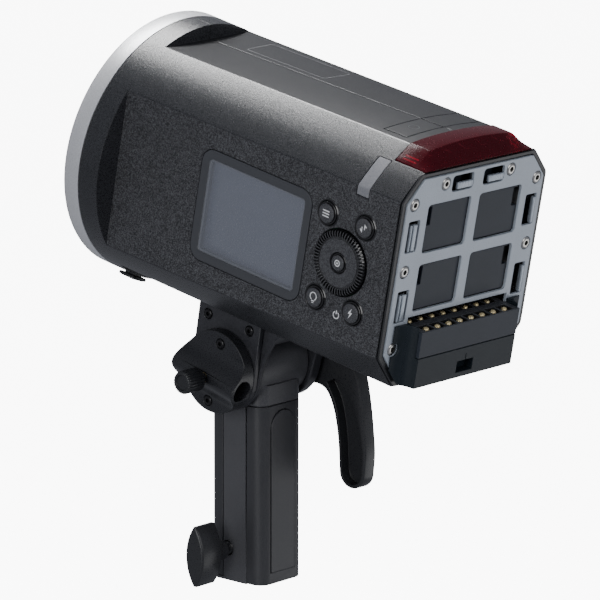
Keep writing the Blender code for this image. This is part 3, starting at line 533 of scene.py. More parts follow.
FRONT_SIDE = math.degrees(math.asin(math.sqrt(RING_R**2 - SIDE_X**2) / RING_R))
FRONT_TOP = math.degrees(math.asin((TOP_Z - AXIS_Z) / RING_R))
FRONT_HIP = -math.degrees(math.asin((AXIS_Z - FLOOR_Z) / RING_R))
REAR_SHOULDER = [(SIDE_X, 0.1267), (0.0469, 0.1312), (0.0426, 0.1354), (0.0383, 0.139), (0.0336, 0.1426),
                 (0.0289, 0.146)]
REAR_HIP = [(0.037, FLOOR_Z), (0.0417, 0.0401), (0.0464, 0.0456), (SIDE_X, 0.051)]


def along(points, share):
    """The point at a share of the way through a line's points, counted by segment."""
    place = min(share * (len(points) - 1), len(points) - 1 - 1e-9)
    i = int(place)
    t = place - i
    return tuple(a + (b - a) * t for a, b in zip(points[i], points[i + 1]))


def on_ring(angle):
    return RING_R * math.cos(angle), AXIS_Z + RING_R * math.sin(angle)


def section_points():
    """Matching points on the flange's circle, on the section just behind it and on the rear section."""
    rows = []
    spans = (
        (FRONT_HIP, -FRONT_SIDE, 8, "arc", REAR_HIP),
        (-FRONT_SIDE, FRONT_SIDE, 20, "side", [REAR_HIP[-1], REAR_SHOULDER[0]]),
        (FRONT_SIDE, FRONT_TOP, 12, "arc", REAR_SHOULDER),
    )
    for first, last, steps, kind, rear in spans:
        for i in range(steps):
            angle = math.radians(first + (last - first) * i / steps)
            circle = on_ring(angle)
            if kind == "arc":
                rows.append((circle, circle, along(rear, i / steps)))
                continue
            z = SIDE_X * math.tan(angle)
            edge = SIDE_X * math.tan(math.radians(FRONT_SIDE))
            rows.append((circle, (SIDE_X, AXIS_Z + z), along(rear, (z + edge) / (2 * edge))))
    for i in range(9):
        angle = math.radians(FRONT_TOP + (90 - FRONT_TOP) * i / 8)
        x = (TOP_Z - AXIS_Z) / math.tan(angle) if i < 8 else 0.0
        edge = (TOP_Z - AXIS_Z) / math.tan(math.radians(FRONT_TOP))
        rise = CROWN * (1 - (x / edge) ** 2)
        rear_x, rear_z = REAR_SHOULDER[-1]
        rows.append((on_ring(angle), (x, TOP_Z), (x / edge * rear_x, rear_z + rise)))
    floor = []
    for i in range(8):
        angle = math.radians(-90 + (FRONT_HIP + 90) * i / 8)
        x = (AXIS_Z - FLOOR_Z) * math.tan(angle + math.pi / 2)
        edge = (AXIS_Z - FLOOR_Z) * math.tan(math.radians(FRONT_HIP + 90))
        floor.append((on_ring(angle), (x, FLOOR_Z), (x / edge * REAR_HIP[0][0], FLOOR_Z)))
    half = floor + rows
    left = [tuple((-x, z) for x, z in row) for row in reversed(half[1:-1])]
    return half + left


SECTION = section_points()


def station(y, share=None, scale=1.0, inset=0.0):
    """One ring of the shell: on the flange's circle, or at a share of the way to the rear section."""
    middle = (TOP_Z + FLOOR_Z) / 2
    ring = []
    for circle, front, rear in SECTION:
        if share is None:
            x, z = circle[0] * scale, AXIS_Z + (circle[1] - AXIS_Z) * scale
        else:
            x, z = (a + (b - a) * share for a, b in zip(front, rear))
        x *= (SIDE_X - inset) / SIDE_X
        z = middle + (z - middle) * (TOP_Z - middle - inset) / (TOP_Z - middle)
        ring.append((x, y, z))
    return ring


def shell_share(y):
    """How far a station is on the way from the front wall to the rear end."""
    return (y - WALL_Y) / (BODY_END - WALL_Y)


def shell_solid():
    rings = [station(FLANGE_FRONT, scale=0.994), station(FLANGE_FRONT + 0.0004), station(WALL_Y)]
    for i in range(8):
        y = WALL_Y + (BODY_END - WALL_Y) * i / 7
        rings.append(station(y, shell_share(y)))
    work = loft(rings)
    soften(work, 0.0006, 16.0, 3, Vector((0, 1, 0)))
    return work


def shell_hollow():
    ys = (-0.056, 0.0, 0.056, 0.112)
    return loft([station(y, shell_share(y), inset=WALL) for y in ys])


def lens_room():
    """The corner that the shells and the bezel leave for the signal lens."""
    side = LENS_X + GAP
    return box((-side, LENS_Y[0] - GAP, LENS_Z - GAP), (side, 0.13, 0.16))


def release_place():
    """The mount release's place on the flange, its X pointing outwards."""
    return at(0.0, 0.0, AXIS_Z) @ turned(70, "Y")


def top_at(x, y):
    """Places a thing on the crowned top, its own Z pointing out of the head."""
    share = shell_share(y)
    edge_x, edge_z = REAR_SHOULDER[-1]
    z = TOP_Z + (edge_z - TOP_Z) * share + CROWN * share * (1 - (x / edge_x) ** 2)
    slope = Matrix.Rotation(math.atan((edge_z - TOP_Z) / (BODY_END - WALL_Y)), 4, "X")
    lean = Matrix.Rotation(math.atan(2 * CROWN * share * x / edge_x**2), 4, "Y")
    return at(x, y, z) @ slope @ lean


def side_at(y, z):
    """Places a thing on the display side, its own Z pointing out of the head."""
    return at(0.0, y, z) @ TO_X


def finish_of_face(face):
    """Coarse grain on the flat sides, fine grain on the shoulders and flange, the smoothest on the top."""
    if face.center.y < WALL_Y:
        return 1
    if abs(face.normal.x) > 0.96 or face.normal.z < -0.9:
        return 0
    return 2 if face.normal.z > 0.96 else 1


def make_shell():
    """The head's two shells, with their openings, split along the top seam."""
    cuts = [rod(0.0159, *SIDE_CUT, 64, side_at(*DIAL))]
    for y, z in BUTTONS.values():
        cuts.append(rod(BUTTON_R + 0.0005, *SIDE_CUT, 32, side_at(y, z)))
    (y0, z0), (y1, z1) = WINDOW
    cuts.append(side_prism(rounded((y0 - GAP, z0 - GAP), (y1 + GAP, z1 + GAP), 0.0073, 8), *SIDE_CUT))
    low, high = LID_OPENING
    cuts.append(box((*low, 0.135), (*high, 0.155)))
    cuts.append(box((0.053, -0.0686, -0.0036), (0.066, -0.0604, 0.0036), release_place()))
    for i in range(9):
        slot = rounded((0.01 + 0.0075 * i, 0.062), (0.0135 + 0.0075 * i, 0.11), 0.0017, 4)
        cuts.append(side_prism(slot, -0.055, -0.045))
    (x0, y0, z0), (x1, y1, z1) = STATUS_LOW, STATUS_HIGH
    cuts.append(box((x0 - GAP, y0 - GAP, z0 - GAP), (x1, y1 + GAP, z1)))
    cuts.append(lens_room())
    bore = rod(BORE_R, -0.075, -0.05, 96, at(0.0, 0.0, AXIS_Z) @ TO_Y)
    whole = cut(shell_solid(), shell_hollow(), bore, merged(*cuts), flat=FINE)
    mesh = bpy.data.meshes.new("whole")
    whole.to_mesh(mesh)
    whole.free()
    halves = {"display_side": (SEAM_X + GAP / 2, 0.1), "far_side": (-0.1, SEAM_X - GAP / 2)}
    for name, (low, high) in halves.items():
        work = bmesh.new()
        work.from_mesh(mesh)
        half = carved(work, [("INTERSECT", box((low, -0.1, 0.0), (high, 0.2, 0.2)))], FINE)
        soften(half, 0.00022, 55.0, 2)
        made = piece(f"shell_{name}", half, [PANEL_GRAIN, SHOULDER_GRAIN, TOP_GRAIN], "shell",
                     stands_for=f"housing_{name}", smooth=24.0, choose=finish_of_face)
        evened(made)


make_shell()


# ---------------------------------------------------------------- the front

# The optical axis as Z, and the flash tube's ring round it.
FRONT = HEAD @ (at(0.0, 0.0, AXIS_Z) @ TO_Y)
TUBE_R = 0.0205
TUBE_Z = -0.0622


def make_front():
    """The ring, bayonet, bowl, lamp, tube, dome and mount release."""
    rear = FLANGE_FRONT - GAP
    face = -0.0812
    profile = [(RING_R, rear), (RING_R, face + 0.0012), (RING_R - 0.0004, face + 0.0004),
               (RING_R - 0.0012, face)]
    profile += [(0.0605, face), (0.0602, face + 0.0005), (0.0596, face + 0.0005), (0.0593, face)]
    profile += [(0.052, face), (0.0508, face + 0.0006), (0.05, face + 0.0018)]
    profile += [(0.05, -0.0745), (0.0478, -0.0745), (0.0478, rear)]
    look("mount_ring", lathe(profile, 144), BLASTED, place=FRONT, smooth=35)

    ring = [(0.0496, -0.0786), (0.049, -0.0789), (0.0458, -0.0789), (0.0452, -0.0785), (0.0452, -0.0748),
            (0.0496, -0.0748)]
    notches = []
    for i in range(3):
        notches.append(box((0.044, -0.009, -0.081), (0.0475, 0.009, -0.074), turned(90 + 120 * i)))
    bayonet = cut(lathe(ring, 96), merged(*notches))
    look("bayonet_ring", bayonet, SATIN_BLACK, place=FRONT, round_off=0.0002)

    bowl = flowing([(0.044, -0.0758), (0.0405, -0.068), (0.035, -0.061), (0.029, -0.0566), (0.02, -0.055),
                    (0.0064, -0.0548)], 5)
    bowl = [(0.0446, -0.075), (0.0446, -0.0758), *bowl, (0.0064, -0.0534), (0.02, -0.0534), (0.03, -0.0545)]
    look("reflector_bowl", lathe(bowl, 96), MIRROR, place=FRONT)

    lamp = [(0.0, -0.046), (0.0054, -0.046), (0.0054, -0.055), (0.0114, -0.0552), (0.0119, -0.0556),
            (0.0119, -0.057), (0.0112, -0.0576), (0.0092, -0.0576), (0.009, -0.0572), (0.0, -0.0572)]
    look("modelling_lamp", lathe(lamp, 48, closed=False), CERAMIC, place=FRONT)
    disc = lathe([(0.0, -0.058), (0.005, -0.0579), (0.0084, -0.0575), (0.0088, -0.0571), (0.0, -0.0571)], 40,
                 closed=False)
    piece("lamp_phosphor_disc", disc, LAMP, "diffuser", place=FRONT, smooth=60)

    section = arc((TUBE_R, TUBE_Z), 0.003, 0, 360, 14)[:-1]
    turns = [turned(12 + 336 * i / 56) for i in range(57)]
    tube = loft([[turn @ Vector((x, 0.0, z)) for x, z in section] for turn in turns])
    look("flash_tube", tube, TUBE_GLASS, place=FRONT)
    clips = []
    for angle in (70, 180, 290):
        spin = turned(angle)
        clips.append(rod(0.0007, -0.059, -0.0549, 12, spin @ at(TUBE_R, 0.0, 0.0), chamfer=0.0001))
        clips.append(lathe([(0.0037, -0.0006), (0.0037, 0.0006), (0.0032, 0.0006), (0.0032, -0.0006)], 24,
                           spin @ at(TUBE_R, 0.0, TUBE_Z) @ TO_Y))
    piece("flash_tube_clips", merged(*clips), STEEL, "steel", place=FRONT)

    outer = flowing([(0.0274, -0.07), (0.0262, -0.074), (0.0225, -0.0773), (0.015, -0.0793), (0.0, -0.08)], 5)
    inner = [(r * 0.93, h + 0.0016) for r, h in reversed(outer)]
    dome = [(0.0274, -0.0568)] + outer + inner + [(0.0255, -0.0568)]
    look("glass_dome", lathe(dome, 72), DOME_GLASS, place=FRONT)

    cap = box((0.0645, -0.07, -0.0052), (0.0661, -0.0604, 0.0052))
    soften(cap, 0.0006, 50.0, 3)
    ribs = [box((0.0659, -0.069 + 0.0014 * i, -0.004), (0.0664, -0.0684 + 0.0014 * i, 0.004))
            for i in range(6)]
    slider = merged(cap, box((0.056, -0.068, -0.003), (0.065, -0.0624, 0.003)), *ribs)
    look("mount_release", slider, SATIN_BLACK, body="mount_release", place=HEAD @ release_place())


make_front()


# ---------------------------------------------------------------- the display side


def ring_mark(outer, inner, steps=28):
    """A printed ring."""
    return lathe([(outer, 0.0), (outer, MARK), (inner, MARK), (inner, 0.0)], steps)


def open_ring_mark(outer, inner, first, last, height=0.0):
    """A printed ring with a break, drawn between two angles."""
    centre = (0.0, height)
    return prism(arc(centre, outer, first, last, 24) + arc(centre, inner, last, first, 24), 0.0, MARK)


def bar_mark(x, low, high):
    """A printed bar, from -x to x."""
    return prism([(-x, low), (x, low), (x, high), (-x, high)], 0.0, MARK)


def make_display():
    """The display's rim, glass, face and liner, and the status light beside the lens."""
    (y0, z0), (y1, z1) = WINDOW
    rim = side_prism(rounded((y0, z0), (y1, z1), 0.007, 10), 0.0489, 0.0513)
    opening = rounded((y0 + 0.005, z0 + 0.005), (y1 - 0.0046, z1 - 0.005), 0.0018, 5)
    step = rounded((y0 + 0.0044, z0 + 0.0044), (y1 - 0.004, z1 - 0.0044), 0.0022, 5)
    rim = cut(rim, side_prism(opening, 0.048, 0.052), side_prism(step, 0.0508, 0.052))
    piece("display_rim", rim, SLATE, "screen", stands_for="display_window", round_off=0.00025)
    glass = side_prism(rounded((y0 + 0.0046, z0 + 0.0046), (y1 - 0.0042, z1 - 0.0046), 0.002, 5), 0.05082,
                       0.05112)
    piece("display_glass", glass, COVER_GLASS, "screen")
    panel = box((0.0463, -0.0045, 0.063), (0.0486, 0.0585, 0.111))
    piece("display_face", soften(panel, 0.0002), SCREEN, "screen", stands_for="display_panel")
    core = rounded((y0 + 0.0056, z0 + 0.0054), (y1 - 0.005, z1 - 0.0054), 0.0012, 5)
    liner = cut(side_prism(opening, 0.04865, 0.05075), side_prism(core, 0.048, 0.052))
    piece("display_liner", liner, SCREEN_WALL, "screen")
    dress("display_board", BOARD)

    zone = box(STATUS_LOW, STATUS_HIGH)
    light = carved(shell_solid(), [("INTERSECT", zone), ("DIFFERENCE", shell_hollow())], 0.5)
    look("status_light", light, STATUS, round_off=0.00025, smooth=24.0)


def knurl(radius, height, index, k):
    """Radial ribs on the dial's outer band."""
    if 7 <= index <= 12 and k % 6 in (0, 1, 2):
        return radius - (0.0006 if index > 10 else 0.0), height - 0.0012
    return radius, height


# Half of the pair of opposite arrows, and the lightning bolt.
ARROW = ((0.0005, 0.0022), (0.0005, -0.0006), (0.001, -0.0006), (0.001, 0.001), (0.0018, 0.0004),
         (0.0018, 0.0011))
BOLT = ((0.0007, 0.0026), (-0.0013, -0.0003), (-0.0001, -0.0003), (-0.0007, -0.0026), (0.0013, 0.0005),
        (0.0001, 0.0005))


def make_controls():
    """The dial, the buttons with their collars and marks, and the two covers on the top."""
    profile = [(0.005, CONTROL_BASE), (0.005, 0.0526), (0.0052, 0.0529), (0.0111, 0.0529), (0.0113, 0.0527),
               (0.0113, 0.0522), (0.0117, 0.0522), (0.0119, 0.0527), (0.0124, 0.0531), (0.014, 0.0532),
               (0.0149, 0.0527), (0.0153, 0.052), (0.0154, 0.0512), (0.0154, CONTROL_BASE)]
    dial = lathe(profile, 336, side_at(*DIAL), knurl)

    def dial_finish(face):
        """Painted shade in the valleys between the ribs, grain on the flat ring and a satin band between them."""
        distance = math.hypot(face.center.y - DIAL[0], face.center.z - DIAL[1])
        # The rib valleys take gloss black as painted shade.
        if 0.0123 < distance and face.center.x < 0.0526:
            return 2
        return 1 if 0.0052 < distance < 0.0112 and face.normal.x > 0.7 else 0

    look("control_dial", dial, [DIAL_BAND, CAP_GRAIN, GLOSS_BLACK], body="dial", smooth=28,
         choose=dial_finish)
    caps = {"set_button": (*DIAL, 0.0046, 0.0533)}
    caps.update({name: (y, z, BUTTON_R, 0.0526) for name, (y, z) in BUTTONS.items()})
    for name, (y, z, radius, top) in caps.items():
        cap = radius - 0.0009
        shape = [(0.0, CONTROL_BASE), (radius - 0.0002, CONTROL_BASE), (radius, CONTROL_BASE + 0.0002),
                 (radius, top - 0.0011), (radius - 0.0002, top - 0.0009), (cap + 0.0002, top - 0.0009),
                 (cap, top - 0.0011), (cap, top - 0.0004), (cap - 0.0003, top - 0.0001),
                 (cap - 0.0008, top), (cap * 0.4, top), (0.0, top)]
        piece(f"{name}_cap", lathe(shape, 48, side_at(y, z), closed=False), [GLOSS_BLACK, CAP_GRAIN],
              "satin_black", stands_for=name, body=name, smooth=50,
              choose=lambda face, level=top - 0.0007: 1 if face.center.x > level else 0)
        if name != "set_button":
            collar = [(BUTTON_R + 0.0012, 0.0508), (BUTTON_R + 0.0011, 0.0512), (BUTTON_R + 0.0006, 0.0514),
                      (BUTTON_R + 0.00035, 0.0512), (BUTTON_R + 0.00035, 0.05), (BUTTON_R + 0.00045, 0.05),
                      (BUTTON_R + 0.00045, 0.0508)]
            piece(f"{name}_collar", lathe(collar, 48, side_at(y, z)), GLOSS_BLACK, "satin_black")
    marks = {
        "menu_button": [prism(rounded((-0.002, h - 0.00028), (0.002, h + 0.00028), 0.0002, 2), 0.0, MARK)
                        for h in (-0.0013, 0.0, 0.0013)],
        "mode_button": [prism([(s * x, s * y) for x, y in ARROW], 0.0, MARK) for s in (1, -1)],
        "lamp_button": [open_ring_mark(0.0021, 0.0016, -60, 240, 0.0006), bar_mark(0.0009, -0.0018, -0.0013),
                        bar_mark(0.0006, -0.0026, -0.0022)],
        "flash_button": [prism(BOLT, 0.0, MARK)],
        "set_button": [ring_mark(0.0016, 0.0011), rod(0.0005, 0.0, MARK, 16)],
    }
    for name, shapes in marks.items():
        y, z, _, top = caps[name]
        upright = at(top - 0.00002, y, z) @ UPRIGHT
        piece(f"{name}_mark", moved(merged(*shapes), upright), PRINT, "silver", body=name)
    power = merged(open_ring_mark(0.0019, 0.0014, 120, 420), bar_mark(0.00028, 0.0004, 0.0023))
    piece("power_mark", moved(power, at(SIDE_X, 0.0848, 0.063) @ UPRIGHT), PRINT, "silver")

    for name, (low, high) in LIDS.items():
        lid = carved(shell_solid(), [("INTERSECT", box((*low, 0.144), (*high, 0.155)))], FINE)
        evened(look(name, soften(lid, 0.00035, 50.0, 3), TOP_GRAIN, body=name, smooth=24.0))
    piece("sync_cover_mark", ring_mark(0.0027, 0.0023, 32), SLATE, "rubber", body="sync_cover",
          place=HEAD @ top_at(0.0118, 0.0812))
    dress("port_block", SATIN_BLACK, 0.0003)


def make_label():
    """The blank outline of the label on the top, laid on its crown."""
    (x0, y0), (x1, y1) = LABEL
    outer = rounded((x0, y0), (x1, y1), 0.002, 4)
    inner = rounded((x0 + 0.0003, y0 + 0.0003), (x1 - 0.0003, y1 - 0.0003), 0.0017, 4)
    lift = Vector((0.0, 0.0, MARK))
    strips = []
    for i in range(len(outer)):
        quad = [top_at(*point).translation for point in (outer[i - 1], outer[i], inner[i], inner[i - 1])]
        strips.append(loft([quad, [point + lift for point in quad]]))
    piece("label_outline", merged(*strips), GREY_PRINT, "silver")


make_display()
make_controls()
make_label()


# ---------------------------------------------------------------- the rear


def octagon(inset, corner_cut):
    """The rear frame's outline, drawn in by an inset, with small round cuts at its corners."""
    lean = inset * 0.42
    half = [(0.037 - lean, FLOOR_Z + inset), (SIDE_X - inset, 0.051 + lean), (SIDE_X - inset, 0.1267 - lean),
            (0.0395 - lean, 0.1396 - inset)]
    outline = [Vector(point) for point in mirrored(half)]
    made = []
    for before, corner, after in zip(outline[-1:] + outline, outline, outline[1:] + outline[:1]):
        start = (before - corner).normalized() * corner_cut
        end = (after - corner).normalized() * corner_cut
        made += [tuple(corner + start * (1 - t) ** 2 + end * t**2) for t in (0.0, 0.25, 0.5, 0.75, 1.0)]
    return made


def slot_rects():
    """The battery plate's openings as (kind, x0, z0, x1, z1, radius)."""
    rects = []
    for side in (1, -1):
        for low, high in ((0.0714, 0.0941), (0.0997, 0.1229)):
            rects.append(("window", side * 0.003, low, side * 0.0328, high, 0.0017))
        for low, high in ((0.0677, 0.083), (0.1017, 0.1168)):
            rects.append(("hook", side * 0.0374, low, side * 0.045, high, 0.0008))
        rects.append(("top", side * 0.0036, 0.127, side * 0.0182, 0.1347, 0.0017))
    return [(kind, min(a, c), b, max(a, c), d, r) for kind, a, b, c, d, r in rects]


def screw_places():
    half = ((0.0229, 0.1318), (0.043, 0.1247), (0.0429, 0.0924), (0.043, 0.055))
    return [(side * x, z) for side in (1, -1) for x, z in half]


def screw_head(radius):
    """A domed screw head with a hexagonal socket, its rim near Z = 0."""
    shape = [(0.0, -0.0021), (radius * 0.6, -0.0021), (radius - 0.00015, -0.0006), (radius, -0.00042),
             (radius - 0.00012, -0.00022), (radius * 0.8, 0.0), (radius * 0.55, 0.0001), (0.0, 0.00012)]
    return cut(lathe(shape, 32, closed=False), rod(radius * 0.48, -0.0012, 0.001, 6))


def make_rear():
    """The bezel, the battery plate with its hook lips, the panel behind it and its screws."""
    bezel = cut(back_prism(octagon(0.0004, 0.0016), BODY_END + GAP, REAR_Y),
                back_prism(octagon(0.003, 0.001), 0.1, 0.12), lens_room())
    look("rear_bezel", bezel, SATIN_BLACK, round_off=0.0004)

    cuts = [back_prism(rounded((x0, z0), (x1, z1), r, 5), *REAR_CUT)
            for _, x0, z0, x1, z1, r in slot_rects()]
    cuts.append(box((-LEDGE_X - GAP, 0.105, 0.0518), (LEDGE_X + GAP, 0.12, 0.069)))
    for x, z in screw_places():
        cuts.append(rod(0.0031, *REAR_CUT, 32, at(x, 0.0, z) @ TO_Y))
    plate = cut(back_prism(octagon(0.0033, 0.001), PLATE_Y - 0.0016, PLATE_Y), merged(*cuts))
    look("battery_plate", plate, PLATE_PAINT, round_off=0.00028)

    lips = []
    for kind, x0, z0, x1, z1, _ in slot_rects():
        if kind == "hook":
            near = ((x1 - 0.0026, x1 - 0.0016), (x1 - 0.006, x1 - 0.0034))
            far = ((x0 + 0.0002, x0 + 0.0019),)
            for low, high in near if x1 > 0 else far:
                lips.append(box((low, PLATE_Y - 0.0018, z0 + 0.0006), (high, PLATE_Y + 0.0003, z1 - 0.0018)))
        elif kind == "top":
            lips.append(box((x0 + 0.0003, PLATE_Y - 0.0012, z0 + 0.0009),
                            (x1 - 0.0036, PLATE_Y + 0.0002, z0 + 0.0041)))
    lips = [soften(lip, 0.0003, 50.0, 3) for lip in lips]
    piece("battery_hook_lips", merged(*lips), LIP_METAL, "plate_grey")

    # A near-black sheet behind the plate's openings, as painted shade.
    baffle = back_prism(octagon(0.0036, 0.001), 0.103, 0.104)
    piece("rear_baffle", baffle, PAINTED_SHADE, "satin_black")
    backs = [box((side * 0.0109 - 0.008, 0.105, 0.1262), (side * 0.0109 + 0.008, 0.1058, 0.1354))
             for side in (1, -1)]
    piece("slot_backs", merged(*backs), PANEL_SLATE, "panel_grey")
    panels = [box((-0.0362, 0.1065, 0.0696), (0.0362, 0.1098, 0.1256))]
    for kind, x0, z0, x1, z1, _ in slot_rects():
        if kind != "window":
            continue
        pad = back_prism(rounded((x0 + 0.0005, z0 + 0.0005), (x1 - 0.0005, z1 - 0.0005), 0.0012, 4), 0.1095,
                         0.1124)
        low, high = (x1 - 0.004, x1 + 0.001) if x1 > 0 else (x0 - 0.001, x0 + 0.004)
        notch = box((low, 0.11, z1 - 0.0102), (high, 0.115, z1 - 0.0014))
        panels.append(cut(pad, notch))
    # The faces behind the pads' walls, the backing panel and the notch floors, take painted shade.
    look("battery_backing", merged(*panels), [PANEL_SLATE, PAINTED_SHADE], round_off=0.0002,
         choose=lambda face: 1 if face.center.y < 0.1105 else 0)
    for i, (x, z) in enumerate(screw_places(), 1):
        place = at(x, PLATE_Y + 0.0002, z) @ TO_Y @ turned(17 + 31 * i)
        head = moved(screw_head(0.0029), place)
        # The faces inside the socket take painted shade.
        look(f"plate_screw_{i}", head, [STEEL, PAINTED_SHADE], smooth=40,
             choose=lambda face: 1 if face.center.y < PLATE_Y - 0.0008 else 0)


def lens_ring(y, heights):
    """A section of the lens across the head: its foot, and a height for each of the fixed stations."""
    stations = (LENS_X, 0.0357, 0.0336, 0.0313, 0.0289, 0.0217, 0.0145, 0.0072)
    half = [(LENS_X, LENS_Z), *zip(stations, heights)]
    return [(x, y, z) for x, z in mirrored(half)]


def make_lens():
    """The red lens with its glowing bars, a painted glow, and the shapes that show through it."""
    front = lens_ring(LENS_Y[0], (0.1394, 0.141, 0.1425, 0.1444, 0.1461, 0.1469, 0.1474, 0.1477))
    crown = lens_ring(0.103, (0.1394, 0.1411, 0.1427, 0.1445, 0.1462, 0.1471, 0.1476, 0.148))
    ridge = lens_ring(LENS_Y[1], (0.1394, 0.1411, 0.1427, 0.1445, 0.1461, 0.1471, 0.1477, 0.1481))
    rear = lens_ring(LENS_Y[2], (0.1393, 0.1394, 0.1395, 0.1396, 0.1397, 0.1397, 0.1397, 0.1397))
    lens = soften(loft([front, crown, ridge, rear]), 0.00025, 24.0, 3)
    look("signal_lens", lens, RED_LENS, smooth=30)
    bars = []
    for side in (1, -1):
        for x, z in ((0.0352, 0.1403), (0.0335, 0.1415)):
            bar = box((side * x - 0.0003, 0.0966, z - 0.00028), (side * x + 0.0003, 0.1042, z + 0.00028))
            bars.append(soften(bar, 0.0001))
    # The bars glow as painted light.
    piece("signal_bars", merged(*bars), RED_BAR_GLOW, "signal_red")
    inner = [soften(box((-0.0262, 0.0965, 0.1395), (0.0262, 0.0972, 0.1443)), 0.0002)]
    for i in range(5):
        x = (i - 2) * 0.0118
        inner.append(soften(box((x - 0.0036, 0.0985, 0.1395), (x + 0.0036, 0.1062, 0.1428)), 0.0005))
        inner.append(rod(0.0021, 0.1428, 0.144, 24, at(x, 0.1022, 0.0), chamfer=0.0003))
    piece("signal_inner", merged(*inner), RED_BLOCK, "signal_red")
    # A near-black tray under the lens, as painted shade.
    tray = soften(box((-0.036, 0.0945, 0.1376), (0.036, 0.1118, 0.1386)), 0.0002)
    piece("signal_tray", tray, PAINTED_SHADE, "satin_black")


def make_connector():
    """The ledge with two rows of contacts in wells, and the cover below it."""
    places = [(i - 3.5) * CONTACT_PITCH for i in range(8)]
    wells = []
    pins = []
    for y in CONTACT_ROWS:
        for x in places:
            wells.append(box((x - 0.0032, y - 0.0029, 0.06), (x + 0.0032, y + 0.0029, 0.068)))
            pins.append(lathe([(0.0, 0.0601), (0.0016, 0.0601), (0.0016, 0.0638), (0.0013, 0.0646),
                               (0.0008, 0.065), (0.0, 0.0652)], 24, at(x, y, 0.0),
                              closed=False))
            pins.append(soften(box((x - 0.0016, y - 0.0008, 0.0601), (x + 0.0016, y + 0.0008, 0.0612)),
                               0.0001))
    block = cut(box((-LEDGE_X, 0.1049, 0.0521), (LEDGE_X, 0.1228, 0.0648)), merged(*wells))

    def block_finish(face):
        """Painted shade in the wells, a painted highlight on the top and plain sides."""
        x, y, z = face.center
        # The top faces take the lighter slate as a painted highlight on the rims; the faces inside the wells take
        # painted shade.
        if face.normal.z > 0.9 and z > 0.064:
            return 2
        return 1 if z < 0.0646 and 0.1052 < y < 0.1225 and abs(x) < 0.034 else 0

    look("connector_block", block, [PANEL_SLATE, PAINTED_SHADE, SLATE], round_off=0.00022, choose=block_finish)
    piece("contact_pins", merged(*pins), BRASS, "brass", stands_for=("contacts_inner", "contacts_outer"),
          smooth=50)

    front = PLATE_Y + GAP
    flare = [(0.044, front), (0.044, front + 0.0005)]
    flare += flowing([(0.0418, front + 0.0008), (0.0395, front + 0.0014), (0.0375, front + 0.0024),
                      (0.036, front + 0.004), (0.0351, front + 0.0062)], 4)
    flare.append((LEDGE_X, 0.1228))
    cover = prism(mirrored(flare), 0.0372, 0.0666)
    latch = box((-0.0056, 0.118, 0.04), (0.0056, 0.13, 0.0454))
    holes = [rod(0.0032, 0.105, 0.13, 32, at(s * 0.043, 0.0, 0.055) @ TO_Y)
             for s in (1, -1)]
    above = box((-LEDGE_X - GAP, 0.1, 0.0518), (LEDGE_X + GAP, 0.13, 0.08))
    groove = box((-0.00012, 0.1224, 0.0454), (0.00012, 0.13, 0.0484))
    cover = carved(cover, [("INTERSECT", back_prism(octagon(0.0016, 0.001), 0.1, 0.13)),
                           ("DIFFERENCE", above), ("DIFFERENCE", merged(*holes, latch)),
                           ("DIFFERENCE", groove)], 0.5)
    look("connector_cover", cover, COVER_SLATE, round_off=0.0003, smooth=26.0)


make_rear()
make_lens()
make_connector()


# ---------------------------------------------------------------- the yoke, the umbrella holder and the lever


def make_yoke():
    """The yoke, its screws, and the umbrella block with a saddle-shaped face and its knob."""
    dress("yoke_casting", CAST, 0.0006)
    dress("yoke_side_plate", CAST, 0.0004)
    dress("tilt_axle", STEEL, 0.0003)
    frames = {"yoke_screw": (HEAD, ((-0.0141, 0.0234), (0.0124, 0.024)), 0.0237),
              "umbrella_screw": (UMBRELLA, ((0.0, 0.0146), (0.0, -0.015)), 0.0299)}
    for name, (place, spots, top) in frames.items():
        for i, (y, z) in enumerate(spots, 1):
            head = moved(screw_head(0.0023), at(top, y, z) @ TO_X)
            look(f"{name}_{i}", head, BLACK_STEEL, place=place, smooth=40)

    base, rise, reach, z0 = 0.0295, 0.0085, 0.0128, -0.0015
    shares = [-1 + i / 20 for i in range(41)]
    saddle = [(base + rise * math.cos(share * math.pi / 2) ** 2, z0 + share * reach) for share in shares]
    outline = [(0.0237, -0.021), (base, -0.021), *saddle, (base, 0.021), (0.0237, 0.021)]
    disc = rod(0.02, 0.02, 0.045, 96, TO_X)
    middle = at(0.0305, 0.0, z0)
    hole = rod(0.0053, -0.03, 0.03, 48, middle @ TO_Y)
    thread = rod(0.003, 0.0, 0.015, 24, middle @ TO_X)
    seats = [rod(0.0027, 0.0283, 0.04, 24, at(0.0, 0.0, z) @ TO_X)
             for z in (0.0146, -0.015)]
    block = carved(back_prism(outline, -0.021, 0.021),
                   [("INTERSECT", disc), ("DIFFERENCE", hole), ("DIFFERENCE", thread),
                    ("DIFFERENCE", merged(*seats))], 0.5)
    look("umbrella_block", block, SMOOTH_CAST, place=UMBRELLA, round_off=0.0003, smooth=24.0)
    dress("umbrella_pad", BRASS, 0.0002)

    def flutes(radius, height, index, k):
        return (radius - (0.0004 if k % 4 == 0 else 0.0), height) if 2 <= index <= 5 else (radius, height)

    knob = [(0.0, 0.0405), (0.0046, 0.0405), (0.0052, 0.0408), (0.0056, 0.0414), (0.0056, 0.0505),
            (0.0052, 0.0514), (0.0046, 0.0518), (0.004, 0.0518), (0.0036, 0.0514), (0.0034, 0.0508),
            (0.0024, 0.0506), (0.0, 0.0505)]
    axis = at(0.0, 0.0, z0) @ TO_X
    shaft = rod(0.0025, 0.037, 0.041, 24, axis, chamfer=0.0002)
    look("umbrella_knob", merged(lathe(knob, 96, axis, flutes, closed=False), shaft), SATIN_BLACK,
         body="umbrella_screw", place=UMBRELLA, smooth=35)


